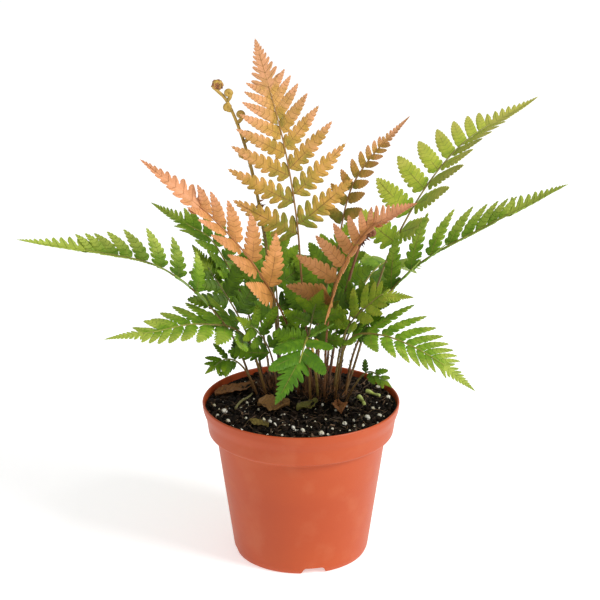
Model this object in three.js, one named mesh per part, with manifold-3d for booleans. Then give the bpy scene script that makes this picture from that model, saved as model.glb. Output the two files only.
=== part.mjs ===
// Autumn fern, a young plant with coppery and green fronds, in a plastic nursery pot.
// Millimetres, +Z up. The origin is the centre of the pot's flat underside.
// The front of the plant faces -Y.
import * as THREE from 'three';
import { mergeVertices } from 'three/addons/utils/BufferGeometryUtils.js';
import Module from 'manifold-3d';

// Driving dimensions of the pot
const SIDES = 32;
const RIM_RADIUS = 65;
const POT_HEIGHT = 106.2;
const BASE_RADIUS = 44.6;
const BODY_TOP_RADIUS = 56;
const BAND_BOTTOM = 85;
const WALL = 1.2;
const FLOOR_RAISE = 5;
const NOTCHES = 4;
const NOTCH_WIDTH = 16;
const NOTCH_HEIGHT = 4.4;
const NOTCH_START_DEG = -79;
const DRAINS = 4;

// Driving dimensions of the soil and the crowns
const GAP = 0.35;
const SOIL_LEVEL = 102;
const SOIL_EDGE = 62.6;
const SOIL_RINGS = 4;
const GRAINS = 10;
const ROOT_Z = 92;
const HOLE_DEPTH = 23;
const CROWN_FOOT = 86;
const CROWN_SIDES = 12;
const CROWNS = [
  { name: 'crown_left', x: -19, y: 21, radiusX: 13, radiusY: 13, top: 110 },
  { name: 'crown_right', x: 13, y: 12, radiusX: 18, radiusY: 15, top: 111 },
];

// Driving dimensions of the fronds. Each stalk is a flat-sided rod, and its blade is a share of
// its length that carries pairs of leaflets and ends in a tip of one piece.
const BLADE = 0.7;
const STALK = 1.7;
const STALK_TIP = 0.8;
const STALK_STEPS = 5;
const BASE_SHARE = 0.36;
const SHIFT_SHARE = 0.3;
const WIDTH_TO_PITCH = 1;
const WIDTH_TO_LENGTH = 0.55;
const POINTING = 2.6;
const TIP_WIDTH = 1.5;
const TIP_SLIMNESS = 0.6;
const LOBE_LENGTH = 14.5;
const MOST_LOBES = 3;
const PLAIN_LENGTH = 17;
const CLEARANCE = 1.5;

const COPPER = 0xd98a52;
const ORANGE = 0xe0955f;
const LIME = 0x8fae3c;
const GREEN = 0x4f8a3a;
const DARK = 0x3c6d34;

// Each frond: the way its upper face looks, how many degrees its two halves fold up from it,
// how far its leaflets sweep forward for their length, how fast they lengthen below the tip,
// their angles to the stalk by the tip and at the base of the blade in degrees, the bare share
// of the stalk, the share of the blade that is its whole tip, the leaflet pairs, the length of
// the leaflets where they are longest, and the points that its stalk passes through from root
// to tip. The fronds that show most come first, and later ones bend their leaflets clear of them.
const FRONDS = [
  { name: 'frond_copper_tall', color: COPPER, face: [0, -1, 0.15], fold: 4, sweep: 0.14,
    swell: 1.25, angles: [47, 58], bare: 0.48, tip: 0.24, pairs: 8, reach: 46,
    through: [[9, 10], [1, 6, 180], [-3, 6, 230], [-12, 10, 282], [-29, 16, 344]] },
  { name: 'frond_copper_left', color: ORANGE, face: [0.6, -1, 0.5], fold: 34, sweep: 0.36,
    swell: 1.05, angles: [30, 42], bare: 0.4, tip: 0.36, pairs: 5, reach: 34,
    through: [[-1, 11], [-6, 3, 148], [-29, -18, 204], [-62, -30, 247], [-99, -36, 280]] },
  { name: 'frond_copper_right', color: ORANGE, face: [-0.6, -0.66, 0.58], fold: 42, sweep: 0.1,
    swell: 1.2, angles: [14, 92], bare: 0.47, tip: 0.3, pairs: 7, reach: 31,
    through: [[15, 3], [17, -6, 157], [24, -19, 199], [44, -30, 235], [72, -34, 251]] },
  { name: 'frond_copper_small', color: COPPER, face: [-0.5, -1, 0.3], fold: 24, sweep: 0.3,
    swell: 0.9, angles: [50, 65], bare: 0.6, tip: 0.28, pairs: 8, reach: 19,
    through: [[15, 16], [22, 18, 180], [29, 15, 235], [42, 12, 264], [69, 8, 296]] },
  { name: 'frond_lime_upper_right', color: LIME, face: [-0.6, -0.5, 0.6], fold: 24, sweep: 0.15,
    swell: 1.25, angles: [56, 78], bare: 0.42, tip: 0.28, pairs: 8, reach: 36,
    through: [[26, 16], [36, 24, 122], [61, 42, 199], [104, 80, 254], [163, 120, 281]] },
  { name: 'frond_green_front_right', color: GREEN, face: [0.05, -0.3, 0.95], fold: 16, sweep: 0.3,
    swell: 0.88, angles: [56, 68], bare: 0.4, tip: 0.26, pairs: 9, reach: 42,
    through: [[21, 6], [29, -10, 148], [50, -26, 161], [82, -44, 153], [109, -58, 135]] },
  { name: 'frond_green_front_left', color: GREEN, face: [0, -0.3, 0.95], fold: 4, sweep: 0.34,
    swell: 0.95, angles: [54, 76], bare: 0.4, tip: 0.26, pairs: 8, reach: 31,
    through: [[-20, 14], [-36, -4, 151], [-65, -20, 166], [-94, -32, 165], [-124, -42, 164]] },
  { name: 'frond_green_front_centre', color: GREEN, face: [-0.1, -0.8, 0.7], fold: 6, sweep: 0.2,
    swell: 1.9, angles: [50, 65], bare: 0.5, tip: 0.45, pairs: 3, reach: 20,
    through: [[7, 2], [4, -18, 150], [3, -46, 164], [-4, -72, 151], [-16, -86, 137]] },
  { name: 'frond_green_right', color: GREEN, face: [-0.25, -0.35, 0.95], fold: 38, sweep: 0.36,
    swell: 1.15, angles: [36, 48], bare: 0.4, tip: 0.3, pairs: 8, reach: 33,
    through: [[27, 10], [38, 8, 145], [70, 2, 194], [117, -6, 227], [168, -14, 257]] },
  { name: 'frond_green_long_left', color: GREEN, face: [0.1, -0.35, 0.95], fold: 38, sweep: 0.4,
    swell: 1.3, angles: [42, 72], bare: 0.4, tip: 0.33, pairs: 8, reach: 24,
    through: [[-27, 20], [-48, 14, 150], [-86, 0, 195], [-130, -12, 212], [-179, -22, 223]] },
  { name: 'frond_green_back_left', color: GREEN, face: [0.3, -0.6, 0.9], fold: 24, sweep: 0.36,
    swell: 1.3, angles: [50, 65], bare: 0.5, tip: 0.33, pairs: 6, reach: 21,
    through: [[-23, 27], [-34, 34, 150], [-56, 42, 198], [-76, 48, 212], [-100, 54, 225]] },
  { name: 'frond_lime_middle_right', color: LIME, face: [-0.1, -0.7, 0.8], fold: 10, sweep: 0.3,
    swell: 1.3, angles: [50, 65], bare: 0.5, tip: 0.35, pairs: 5, reach: 17,
    through: [[20, 11], [28, 2, 150], [47, -8, 178], [58, -14, 185], [72, -20, 184]] },
  { name: 'frond_dark_front_left', color: DARK, face: [-0.1, -0.9, 0.5], fold: 6, sweep: 0.2,
    swell: 1.3, angles: [52, 66], bare: 0.5, tip: 0.3, pairs: 3, reach: 27,
    through: [[-14, 13], [-19, 0, 135], [-28, -12, 158], [-42, -22, 172]] },
  { name: 'frond_dark_front_right', color: DARK, face: [0.1, -0.9, 0.5], fold: 6, sweep: 0.2,
    swell: 1.3, angles: [52, 66], bare: 0.5, tip: 0.3, pairs: 3, reach: 27,
    through: [[3, 6], [4, -2, 140], [8, -14, 172], [14, -26, 192]] },
  { name: 'frond_dark_middle_left', color: DARK, face: [0.1, -0.7, 0.7], fold: 6, sweep: 0.2,
    swell: 1.3, angles: [52, 66], bare: 0.5, tip: 0.3, pairs: 4, reach: 28,
    through: [[-21, 21], [-36, 20, 145], [-54, 24, 178], [-72, 32, 203]] },
  { name: 'frond_dark_middle', color: DARK, face: [0.1, -0.8, 0.6], fold: 6, sweep: 0.2,
    swell: 1.3, angles: [52, 66], bare: 0.46, tip: 0.3, pairs: 4, reach: 30,
    through: [[-13, 26], [-15, 34, 145], [-18, 44, 185], [-24, 56, 212]] },
  { name: 'frond_dark_middle_right', color: DARK, face: [-0.1, -0.8, 0.6], fold: 6, sweep: 0.2,
    swell: 1.3, angles: [52, 66], bare: 0.44, tip: 0.3, pairs: 4, reach: 31,
    through: [[8, 18], [12, 28, 145], [22, 42, 190], [34, 56, 215]] },
  { name: 'frond_dark_centre', color: DARK, face: [0, -0.8, 0.6], fold: 6, sweep: 0.2,
    swell: 1.3, angles: [52, 66], bare: 0.5, tip: 0.3, pairs: 3, reach: 26,
    through: [[3.5, 15], [5, 14, 135], [12, 4, 160], [25, -8, 178]] },
  { name: 'frond_dark_right', color: DARK, face: [-0.1, -0.8, 0.6], fold: 6, sweep: 0.2,
    swell: 1.3, angles: [52, 66], bare: 0.5, tip: 0.3, pairs: 4, reach: 26,
    through: [[23.5, 12.5], [29, 12, 140], [42, 8, 165], [62, 10, 188]] },
  { name: 'frond_dark_low_left', color: DARK, face: [-0.3, -0.8, 0.5], fold: 6, sweep: 0.2,
    swell: 1.3, angles: [50, 65], bare: 0.6, tip: 0.28, pairs: 4, reach: 14,
    through: [[-25, 14], [-36, 2, 125], [-48, -12, 139], [-62, -24, 133]] },
  { name: 'frond_dark_low_right', color: DARK, face: [0.3, -0.8, 0.6], fold: 6, sweep: 0.2,
    swell: 1.3, angles: [50, 65], bare: 0.65, tip: 0.28, pairs: 3, reach: 9,
    through: [[25.5, 6], [35, -6, 118], [45, -14, 131], [59, -20, 122]] },
  { name: 'frond_green_back_right', color: GREEN, face: [0.3, 0.6, 0.9], fold: 8, sweep: 0.2,
    swell: 1.3, angles: [50, 65], bare: 0.42, tip: 0.28, pairs: 6, reach: 32,
    through: [[21, 21], [34, 48, 150], [56, 82, 173], [82, 122, 152]] },
  { name: 'frond_green_back', color: GREEN, face: [0.05, 0.6, 0.9], fold: 8, sweep: 0.2,
    swell: 1.3, angles: [50, 65], bare: 0.42, tip: 0.28, pairs: 6, reach: 33,
    through: [[12, 24], [11, 54, 148], [4, 100, 172], [-4, 146, 146]] },
  { name: 'frond_green_back_low_left', color: GREEN, face: [-0.3, 0.6, 0.9], fold: 8, sweep: 0.2,
    swell: 1.3, angles: [50, 65], bare: 0.42, tip: 0.28, pairs: 6, reach: 32,
    through: [[-18, 30], [-30, 62, 148], [-50, 100, 168], [-76, 138, 144]] },
];

// Coiled new fronds: the stalk's radius and points, the coil at its end, and side hooks that
// leave the stalk at a share of its length, to one side or the other
const CROZIERS = [
  { name: 'crozier_tall', color: 0x9a7a2c, stalk: 1.2, coil: 2.9, curl: -1,
    through: [[-13, 17], [-17, 20, 160], [-26, 22, 226], [-35, 20, 270], [-46, 18, 301], [-54.5, 18, 311]],
    hooks: [[0.95, 1, 8], [0.92, -1, 5], [0.88, 1, 9], [0.82, 1, 8], [0.77, -1, 7]] },
  { name: 'crozier_small', color: 0xc98544, stalk: 1, coil: 2.3, curl: -1,
    through: [[12, 6], [10, -2, 122], [7, -8, 148]],
    hooks: [] },
  { name: 'bud_withered', color: 0x8a4a2a, stalk: 1, coil: 2.4, curl: 1,
    through: [[16, 22], [25, 29, 150], [37, 34, 196], [45, 34, 214]],
    hooks: [[0.95, 1, 7], [0.9, -1, 5]] },
];

// Fallen leaflets on the soil: place, length, width and turn about +Z
const LITTER = [
  { name: 'litter_leaf_left', color: 0x6a4f38, x: -44, y: 20, length: 29, width: 15, turn: 27, curl: 1.3 },
  { name: 'litter_leaf_front', color: 0x64553c, x: -18, y: -9, length: 21, width: 19, turn: -12, curl: 2 },
  { name: 'litter_leaf_centre', color: 0x5d4c34, x: 4, y: -11, length: 16, width: 8, turn: 33, curl: 1.3 },
  { name: 'litter_leaf_rim', color: 0x6b5a3c, x: -27, y: -37, length: 15, width: 7, turn: -38, curl: 0.8 },
  { name: 'litter_leaf_right', color: 0x9a6a48, x: 25, y: -12, length: 13, width: 9, turn: 100, curl: 1.8 },
  { name: 'twig', color: 0x8f8a58, x: -38, y: 1, length: 24, width: 1.6, turn: 66, curl: 0.4 },
  { name: 'stub_front', color: 0xa9a866, x: 40, y: 1, length: 12, width: 3.6, turn: -75, curl: 0.5 },
  { name: 'stub_back', color: 0xa9a866, x: 48, y: 13, length: 11, width: 3.2, turn: -40, curl: 0.5 },
];

const wasm = await Module();
wasm.setup();

const degrees = THREE.MathUtils.degToRad;
const vector = (x, y, z) => new THREE.Vector3(x, y, z);

// Closed solids for joining and cutting

function toSolid(geometry) {
  const bare = geometry.clone();
  bare.deleteAttribute('normal');
  bare.deleteAttribute('uv');
  const merged = mergeVertices(bare, 1e-4);
  const mesh = new wasm.Mesh({
    numProp: 3,
    vertProperties: new Float32Array(merged.attributes.position.array),
    triVerts: new Uint32Array(merged.index.array),
  });
  return new wasm.Manifold(mesh);
}

function toGeometry(solid) {
  const mesh = solid.getMesh();
  const geometry = new THREE.BufferGeometry();
  geometry.setAttribute('position', new THREE.BufferAttribute(mesh.vertProperties, 3));
  geometry.setIndex(new THREE.BufferAttribute(mesh.triVerts, 1));
  geometry.computeVertexNormals();
  return geometry;
}

// Cutting can leave loose scraps, which are dropped
function largestBody(solid) {
  const bodies = solid.decompose();
  return bodies.reduce((most, body) => (body.volume() > most.volume() ? body : most));
}

function meet(a, b) {
  const boxA = a.boundingBox();
  const boxB = b.boundingBox();
  for (let axis = 0; axis < 3; axis += 1) {
    if (boxA.min[axis] > boxB.max[axis] || boxB.min[axis] > boxA.max[axis]) return false;
  }
  return !a.intersect(b).isEmpty();
}

// A sheet is a thin leaf: points with half thicknesses, and triangles seen from its upper face

class Sheet {
  constructor() {
    this.points = [];
    this.halves = [];
    this.faces = [];
  }

  point(position, half) {
    this.points.push(position.clone());
    this.halves.push(half);
    return this.points.length - 1;
  }

  quad(left, right, nextRight, nextLeft) {
    this.faces.push([left, right, nextRight], [left, nextRight, nextLeft]);
  }

  normals() {
    const normals = this.points.map(() => vector(0, 0, 0));
    for (const [a, b, c] of this.faces) {
      const edge = this.points[b].clone().sub(this.points[a]);
      const normal = edge.cross(this.points[c].clone().sub(this.points[a]));
      for (const corner of [a, b, c]) normals[corner].add(normal);
    }
    return normals.map((normal) => normal.normalize());
  }

  border() {
    const open = new Map();
    for (const [a, b, c] of this.faces) {
      for (const [from, to] of [[a, b], [b, c], [c, a]]) {
        if (!open.delete(`${to},${from}`)) open.set(`${from},${to}`, [from, to]);
      }
    }
    return [...open.values()];
  }

  // Both faces carry the same triangles, and the border is closed by a narrow wall
  thicken(extra = 0) {
    const count = this.points.length;
    const normals = this.normals();
    const positions = new Float32Array(count * 6);
    this.points.forEach((point, i) => {
      const step = normals[i].clone().multiplyScalar(this.halves[i] + extra);
      point.clone().add(step).toArray(positions, i * 3);
      point.clone().sub(step).toArray(positions, (count + i) * 3);
    });
    const index = [];
    for (const [a, b, c] of this.faces) {
      index.push(a, b, c, count + a, count + c, count + b);
    }
    for (const [a, b] of this.border()) {
      index.push(a, count + a, count + b, a, count + b, b);
    }
    const geometry = new THREE.BufferGeometry();
    geometry.setAttribute('position', new THREE.BufferAttribute(positions, 3));
    geometry.setIndex(index);
    return geometry;
  }
}

// Pot: one moulding, turned, with notches in its foot and drains in its raised floor

function outerProfile() {
  const foot = BASE_RADIUS - 3.8;
  return [
    [0, 0], [22, 0], [25, FLOOR_RAISE], [foot - 1.4, FLOOR_RAISE], [foot, 0],
    [BASE_RADIUS - 1.2, 0], [BASE_RADIUS + 0.2, 3], [BODY_TOP_RADIUS, BAND_BOTTOM - 2],
    [61, BAND_BOTTOM], [62.4, 95], [64.5, 101], [RIM_RADIUS, POT_HEIGHT - 0.8],
    [RIM_RADIUS - 0.6, POT_HEIGHT],
  ];
}

function innerProfile() {
  const floor = FLOOR_RAISE + WALL;
  return [
    [63.6, POT_HEIGHT - 0.4], [63.2, 101.2], [61.2, 95.3], [60.2, BAND_BOTTOM + 1.8],
    [BODY_TOP_RADIUS - WALL + 0.3, BAND_BOTTOM - 0.8], [BASE_RADIUS - 1.2, floor],
    [24, floor], [20.8, WALL], [0, WALL],
  ];
}

function turned(profile) {
  const points = profile.map(([radius, z]) => new THREE.Vector2(radius, z));
  return new THREE.LatheGeometry(points, SIDES).rotateX(Math.PI / 2);
}

function notchCutter(angle) {
  const half = NOTCH_WIDTH / 2;
  const outline = new THREE.Shape([
    new THREE.Vector2(-half - 1.5, -1),
    new THREE.Vector2(half + 1.5, -1),
    new THREE.Vector2(half - 1.5, NOTCH_HEIGHT),
    new THREE.Vector2(-half + 1.5, NOTCH_HEIGHT),
  ]);
  const cutter = new THREE.ExtrudeGeometry(outline, { depth: 10, bevelEnabled: false });
  cutter.rotateX(Math.PI / 2).rotateZ(Math.PI / 2);
  cutter.translate(BASE_RADIUS - 7, 0, 0);
  return toSolid(cutter.rotateZ(angle));
}

function drainCutter(angle) {
  const cutter = new THREE.BoxGeometry(5, 9, 4);
  cutter.translate(33, 0, FLOOR_RAISE + WALL / 2);
  return toSolid(cutter.rotateZ(angle));
}

function potSolid() {
  let pot = toSolid(turned([...outerProfile(), ...innerProfile()]));
  for (let i = 0; i < NOTCHES; i += 1) {
    const angle = degrees(NOTCH_START_DEG + (i * 360) / NOTCHES);
    pot = pot.subtract(notchCutter(angle));
  }
  for (let i = 0; i < DRAINS; i += 1) {
    pot = pot.subtract(drainCutter(degrees((i * 360) / DRAINS)));
  }
  return pot;
}

// Soil: fills the pot up to an uneven surface that rises round the crowns

function soilHeight(x, y) {
  let z = SOIL_LEVEL + 0.7 * Math.sin(x / 9 + 1) * Math.cos(y / 10);
  for (const crown of CROWNS) {
    const away = Math.hypot((x - crown.x) / crown.radiusX, (y - crown.y) / crown.radiusY);
    z += 4 * Math.exp(-0.45 * away * away);
  }
  return z;
}

function soilProfile() {
  const floor = FLOOR_RAISE + WALL + GAP;
  return [
    [20.6, WALL + GAP], [24, floor], [BASE_RADIUS - 1.7, floor],
    [BODY_TOP_RADIUS - WALL - 0.1, BAND_BOTTOM - 0.5], [59.9, BAND_BOTTOM + 2.2], [60.7, 95.2],
  ];
}

function soilBody() {
  const profile = [[0, WALL + GAP], ...soilProfile()];
  for (let ring = SOIL_RINGS; ring >= 0; ring -= 1) {
    profile.push([(SOIL_EDGE * ring) / SOIL_RINGS, SOIL_LEVEL]);
  }
  const body = turned(profile);
  const position = body.attributes.position;
  for (let i = 0; i < position.count; i += 1) {
    if (position.getZ(i) < SOIL_LEVEL - 0.01) continue;
    position.setZ(i, soilHeight(position.getX(i), position.getY(i)));
  }
  return toSolid(body);
}

// A seeded draw: the same seed always gives the same grains
function seededDraw(seed) {
  let state = seed;
  return () => {
    state = (state * 16807) % 2147483647;
    return state / 2147483647;
  };
}

function grainSolid(x, y, radius, draw) {
  const grain = new THREE.OctahedronGeometry(radius, 0);
  grain.rotateX(draw() * 3).rotateY(draw() * 3);
  grain.translate(x, y, soilHeight(x, y) + 0.25 * radius);
  return toSolid(grain);
}

function freeOfNeighbours(x, y) {
  for (const crown of CROWNS) {
    if (Math.hypot(x - crown.x, y - crown.y) < crown.radiusX + 5) return false;
  }
  return LITTER.every((leaf) => Math.hypot(x - leaf.x, y - leaf.y) > leaf.length / 2 + 3);
}

function soilSolid(holes) {
  let soil = soilBody();
  const draw = seededDraw(41);
  let placed = 0;
  while (placed < GRAINS) {
    const radius = 56 * Math.sqrt(draw());
    const angle = draw() * Math.PI * 2;
    const x = radius * Math.cos(angle);
    const y = radius * Math.sin(angle);
    const size = 1.3 + 0.9 * draw();
    if (freeOfNeighbours(x, y)) {
      soil = soil.add(grainSolid(x, y, size, draw));
      placed += 1;
    }
  }
  for (const hole of holes) soil = soil.subtract(hole);
  return largestBody(soil);
}

// Crowns: scaly domes half sunk in the soil, with a hole for each stalk

function crownDome(crown) {
  const rise = crown.top - CROWN_FOOT;
  const profile = [[0, 0], [0.8, 0], [0.96, 0.3], [0.96, 0.62], [0.86, 0.84], [0.5, 0.97], [0, 1]];
  const points = profile.map(([radius, z]) => new THREE.Vector2(radius, z * rise));
  const dome = new THREE.LatheGeometry(points, CROWN_SIDES).rotateX(Math.PI / 2);
  const position = dome.attributes.position;
  for (let i = 0; i < position.count; i += 1) {
    const angle = Math.atan2(position.getY(i), position.getX(i));
    const bump = 1 - 0.05 * (1 + Math.cos(5 * angle)) * (position.getZ(i) / rise);
    position.setX(i, position.getX(i) * bump * crown.radiusX);
    position.setY(i, position.getY(i) * bump * crown.radiusY);
  }
  return toSolid(dome.translate(crown.x, crown.y, CROWN_FOOT));
}

function crownSocket(crown) {
  const socket = new THREE.CylinderGeometry(1, 1, 40, CROWN_SIDES).rotateX(Math.PI / 2);
  socket.scale(crown.radiusX + GAP, crown.radiusY + GAP, 1);
  return toSolid(socket.translate(crown.x, crown.y, CROWN_FOOT - GAP + 20));
}

// Stalk of a frond: a smooth curve with a frame that keeps the upper face turned one way

function stalkCurve(through) {
  const points = through.map(([x, y, z = ROOT_Z]) => vector(x, y, z));
  return new THREE.CatmullRomCurve3(points, false, 'catmullrom', 0.5);
}

function frameAt(curve, face, share) {
  const along = curve.getTangentAt(share);
  const up = vector(...face);
  up.addScaledVector(along, -up.dot(along)).normalize();
  return { place: curve.getPointAt(share), along, up, across: along.clone().cross(up) };
}

// Where each pair of leaflets starts and ends along the stalk. The space between pairs
// shrinks by the same factor each time, down to the tip that is left whole. The right
// leaflet of a pair stands a little higher than the left one.
function pairShares(frond) {
  const blade = 1 - frond.bare;
  const shares = [];
  for (let pair = 0; pair < frond.pairs; pair += 1) {
    const left = frond.tip ** (pair / frond.pairs);
    const pitch = left - frond.tip ** ((pair + 1) / frond.pairs);
    const low = 1 - blade * left;
    shares.push({
      left,
      low,
      high: low + BASE_SHARE * pitch * blade,
      pitch: pitch * blade,
      shift: SHIFT_SHARE * pitch * blade,
    });
  }
  return shares;
}

function stalkHalf(share) {
  return (STALK + (STALK_TIP - STALK) * share) / 2;
}

function addStation(sheet, curve, frond, leftShare, rightShare) {
  const left = frameAt(curve, frond.face, leftShare);
  const right = frameAt(curve, frond.face, rightShare);
  const half = stalkHalf(leftShare);
  return {
    left: sheet.point(left.place.addScaledVector(left.across, -half), half),
    right: sheet.point(right.place.addScaledVector(right.across, half), half),
  };
}

function growStalk(sheet, curve, frond) {
  const shares = pairShares(frond);
  const stations = [];
  for (let step = 0; step < STALK_STEPS; step += 1) {
    const share = (frond.bare * step) / STALK_STEPS;
    stations.push(addStation(sheet, curve, frond, share, share));
  }
  for (const pair of shares) {
    stations.push(addStation(sheet, curve, frond, pair.low, pair.low + pair.shift));
    stations.push(addStation(sheet, curve, frond, pair.high, pair.high + pair.shift));
  }
  for (let i = 1; i < stations.length; i += 1) {
    const low = stations[i - 1];
    const high = stations[i];
    sheet.quad(low.left, low.right, high.right, high.left);
  }
  return { shares, stations };
}

// A blade that grows from the edge between two points of a sheet. Its outline alternates
// between the tips of the lobes and the notches between them, or is plain where it is short.
// The tips of the lobes stand above the notches by the lift for their reach.
function growBlade(sheet, left, right, blade) {
  const { length, width, taper, lobes, out, up, bend, cut, lift } = blade;
  const across = out.clone().cross(up).normalize();
  const start = sheet.points[left].clone().add(sheet.points[right]).multiplyScalar(0.5);
  const spot = (share, side, rise = 0) => {
    const place = start.clone().addScaledVector(out, length * share);
    place.addScaledVector(bend, length * share * share);
    place.addScaledVector(across, side);
    return sheet.point(place.addScaledVector(up, rise), BLADE / 2);
  };
  const halfWidth = (share) => (width / 2) * (1 - share ** taper);
  let low = [left, right];
  for (let lobe = 0; lobe < lobes; lobe += 1) {
    const notchShare = (0.9 * (lobe + 1)) / lobes;
    const peakShare = notchShare - 0.25 / lobes;
    const reach = halfWidth(peakShare);
    const notch = halfWidth(notchShare) * (cut + 0.5 * (1 - cut) * notchShare);
    const rise = lift * reach;
    const peaks = [spot(peakShare, -reach, rise), spot(peakShare, reach, rise)];
    const next = [spot(notchShare, -notch), spot(notchShare, notch)];
    sheet.quad(low[0], low[1], next[1], next[0]);
    sheet.faces.push([low[0], next[0], peaks[0]], [low[1], peaks[1], next[1]]);
    low = next;
  }
  if (lobes === 0) {
    const rise = (lift * width) / 2;
    const wide = [spot(0.45, -0.5 * width, rise), spot(0.45, 0.5 * width, rise)];
    sheet.quad(low[0], low[1], wide[1], wide[0]);
    low = wide;
  }
  sheet.faces.push([low[0], low[1], spot(1, 0)]);
}

// The ways a leaflet may bend clear of what is already there, from none to much
const BENDS = [
  { tilt: 0, size: 1 }, { tilt: 12, size: 1 }, { tilt: -12, size: 1 }, { tilt: 24, size: 1 },
  { tilt: -24, size: 1 }, { tilt: 0, size: 0.8 }, { tilt: 38, size: 1 }, { tilt: -38, size: 1 },
  { tilt: 18, size: 0.75 }, { tilt: -18, size: 0.75 }, { tilt: 0, size: 0.55 },
  { tilt: 35, size: 0.55 }, { tilt: -35, size: 0.55 }, { tilt: 0, size: 0.35 },
];

function leafletBlade(frond, curve, pair, side, bend) {
  const share = (pair.low + pair.high) / 2 + (side > 0 ? pair.shift : 0);
  const { along, up, across } = frameAt(curve, frond.face, share);
  const [tipAngle, baseAngle] = frond.angles;
  const angle = degrees(tipAngle + (baseAngle - tipAngle) * pair.left);
  const tilt = new THREE.Quaternion().setFromAxisAngle(along, -side * degrees(frond.fold + bend.tilt));
  const out = along.clone().multiplyScalar(Math.cos(angle));
  out.addScaledVector(across, side * Math.sin(angle));
  const length = frond.reach * Math.min(1, frond.swell * pair.left) * bend.size;
  const pitch = pair.pitch * curve.getLength();
  const lobes = Math.min(MOST_LOBES, Math.round(length / LOBE_LENGTH));
  return {
    length,
    width: Math.min(WIDTH_TO_PITCH * pitch * Math.sin(angle), WIDTH_TO_LENGTH * length),
    taper: POINTING,
    lobes: length < PLAIN_LENGTH ? 0 : lobes,
    out: out.applyQuaternion(tilt),
    up: up.applyQuaternion(tilt),
    bend: along.clone().multiplyScalar(frond.sweep).add(vector(0, 0, -0.08)),
    cut: 0.85 - 0.3 * pair.left,
    lift: -0.15,
  };
}

// A leaflet on its own, fattened by the clearance it needs, to try it against its neighbours
function leafletTrial(stalk, blade, left, right, extra) {
  const trial = new Sheet();
  const a = trial.point(stalk.points[left], BLADE / 2);
  const b = trial.point(stalk.points[right], BLADE / 2);
  growBlade(trial, a, b, blade);
  return toSolid(trial.thicken(extra));
}

function growLeaflet(plan, pair, side, [low, high], others, own) {
  const { frond, curve, sheet } = plan;
  const left = side > 0 ? high.right : low.left;
  const right = side > 0 ? low.right : high.left;
  for (const bend of BENDS) {
    const blade = leafletBlade(frond, curve, pair, side, bend);
    const wide = leafletTrial(sheet, blade, left, right, CLEARANCE / 2);
    if (others.some((other) => meet(wide, other))) continue;
    const slim = leafletTrial(sheet, blade, left, right, 0.1);
    if (own.some((other) => meet(slim, other))) continue;
    own.push(slim);
    growBlade(sheet, left, right, blade);
    return;
  }
}

function growTip({ frond, curve, sheet }, station) {
  const start = sheet.points[station.left].clone().add(sheet.points[station.right]);
  const out = curve.getPointAt(1).sub(start.multiplyScalar(0.5));
  const length = out.length();
  growBlade(sheet, station.left, station.right, {
    length,
    width: Math.min(TIP_WIDTH * frond.reach * frond.swell * frond.tip, TIP_SLIMNESS * length),
    taper: 1,
    lobes: Math.min(4, Math.max(2, Math.round(length / 6))),
    out: out.normalize(),
    up: frameAt(curve, frond.face, 0.95).up,
    bend: vector(0, 0, 0),
    cut: 0.5,
    lift: Math.tan(degrees(frond.fold)),
  });
}

// The stalks and tips of all fronds are there first, and the leaflets bend clear of them
function plannedFrond(frond) {
  const curve = stalkCurve(frond.through);
  const sheet = new Sheet();
  const { shares, stations } = growStalk(sheet, curve, frond);
  const plan = { frond, curve, sheet, shares, stations };
  growTip(plan, stations[stations.length - 1]);
  return { ...plan, stalk: toSolid(sheet.thicken(GAP)) };
}

function growLeaflets(plan, others) {
  const { sheet, shares, stations } = plan;
  const own = [];
  shares.forEach((pair, index) => {
    const first = STALK_STEPS + 2 * index;
    for (const side of [-1, 1]) {
      growLeaflet(plan, pair, side, stations.slice(first, first + 2), others, own);
    }
  });
  return toSolid(sheet.thicken());
}

// Round stalks: rings of points along a path, closed at both ends

function tube(points, radii, sides) {
  const positions = [];
  const index = [];
  points.forEach((point, i) => {
    const before = points[Math.max(0, i - 1)];
    const after = points[Math.min(points.length - 1, i + 1)];
    const along = after.clone().sub(before).normalize();
    const across = along.clone().cross(vector(0, 1, 0.01)).normalize();
    const up = along.clone().cross(across);
    for (let side = 0; side < sides; side += 1) {
      const angle = (side / sides) * Math.PI * 2;
      const spot = point.clone().addScaledVector(across, radii[i] * Math.cos(angle));
      positions.push(...spot.addScaledVector(up, radii[i] * Math.sin(angle)).toArray());
    }
  });
  for (let ring = 0; ring < points.length - 1; ring += 1) {
    for (let side = 0; side < sides; side += 1) {
      const a = ring * sides + side;
      const b = ring * sides + ((side + 1) % sides);
      index.push(a, b, b + sides, a, b + sides, a + sides);
    }
  }
  const end = (points.length - 1) * sides;
  for (let side = 1; side < sides - 1; side += 1) {
    index.push(0, side + 1, side, end, end + side, end + side + 1);
  }
  const geometry = new THREE.BufferGeometry();
  geometry.setAttribute('position', new THREE.Float32BufferAttribute(positions, 3));
  geometry.setIndex(index);
  return geometry;
}

// The plain hole that a stalk stands in: its own lower end, made a little wider
function stalkHole(through, radius) {
  const curve = stalkCurve(through);
  const points = [curve.getPointAt(0), curve.getPointAt(HOLE_DEPTH / curve.getLength())];
  points[0].z -= GAP;
  return toSolid(tube(points, [radius, radius + GAP], 6));
}

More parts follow.
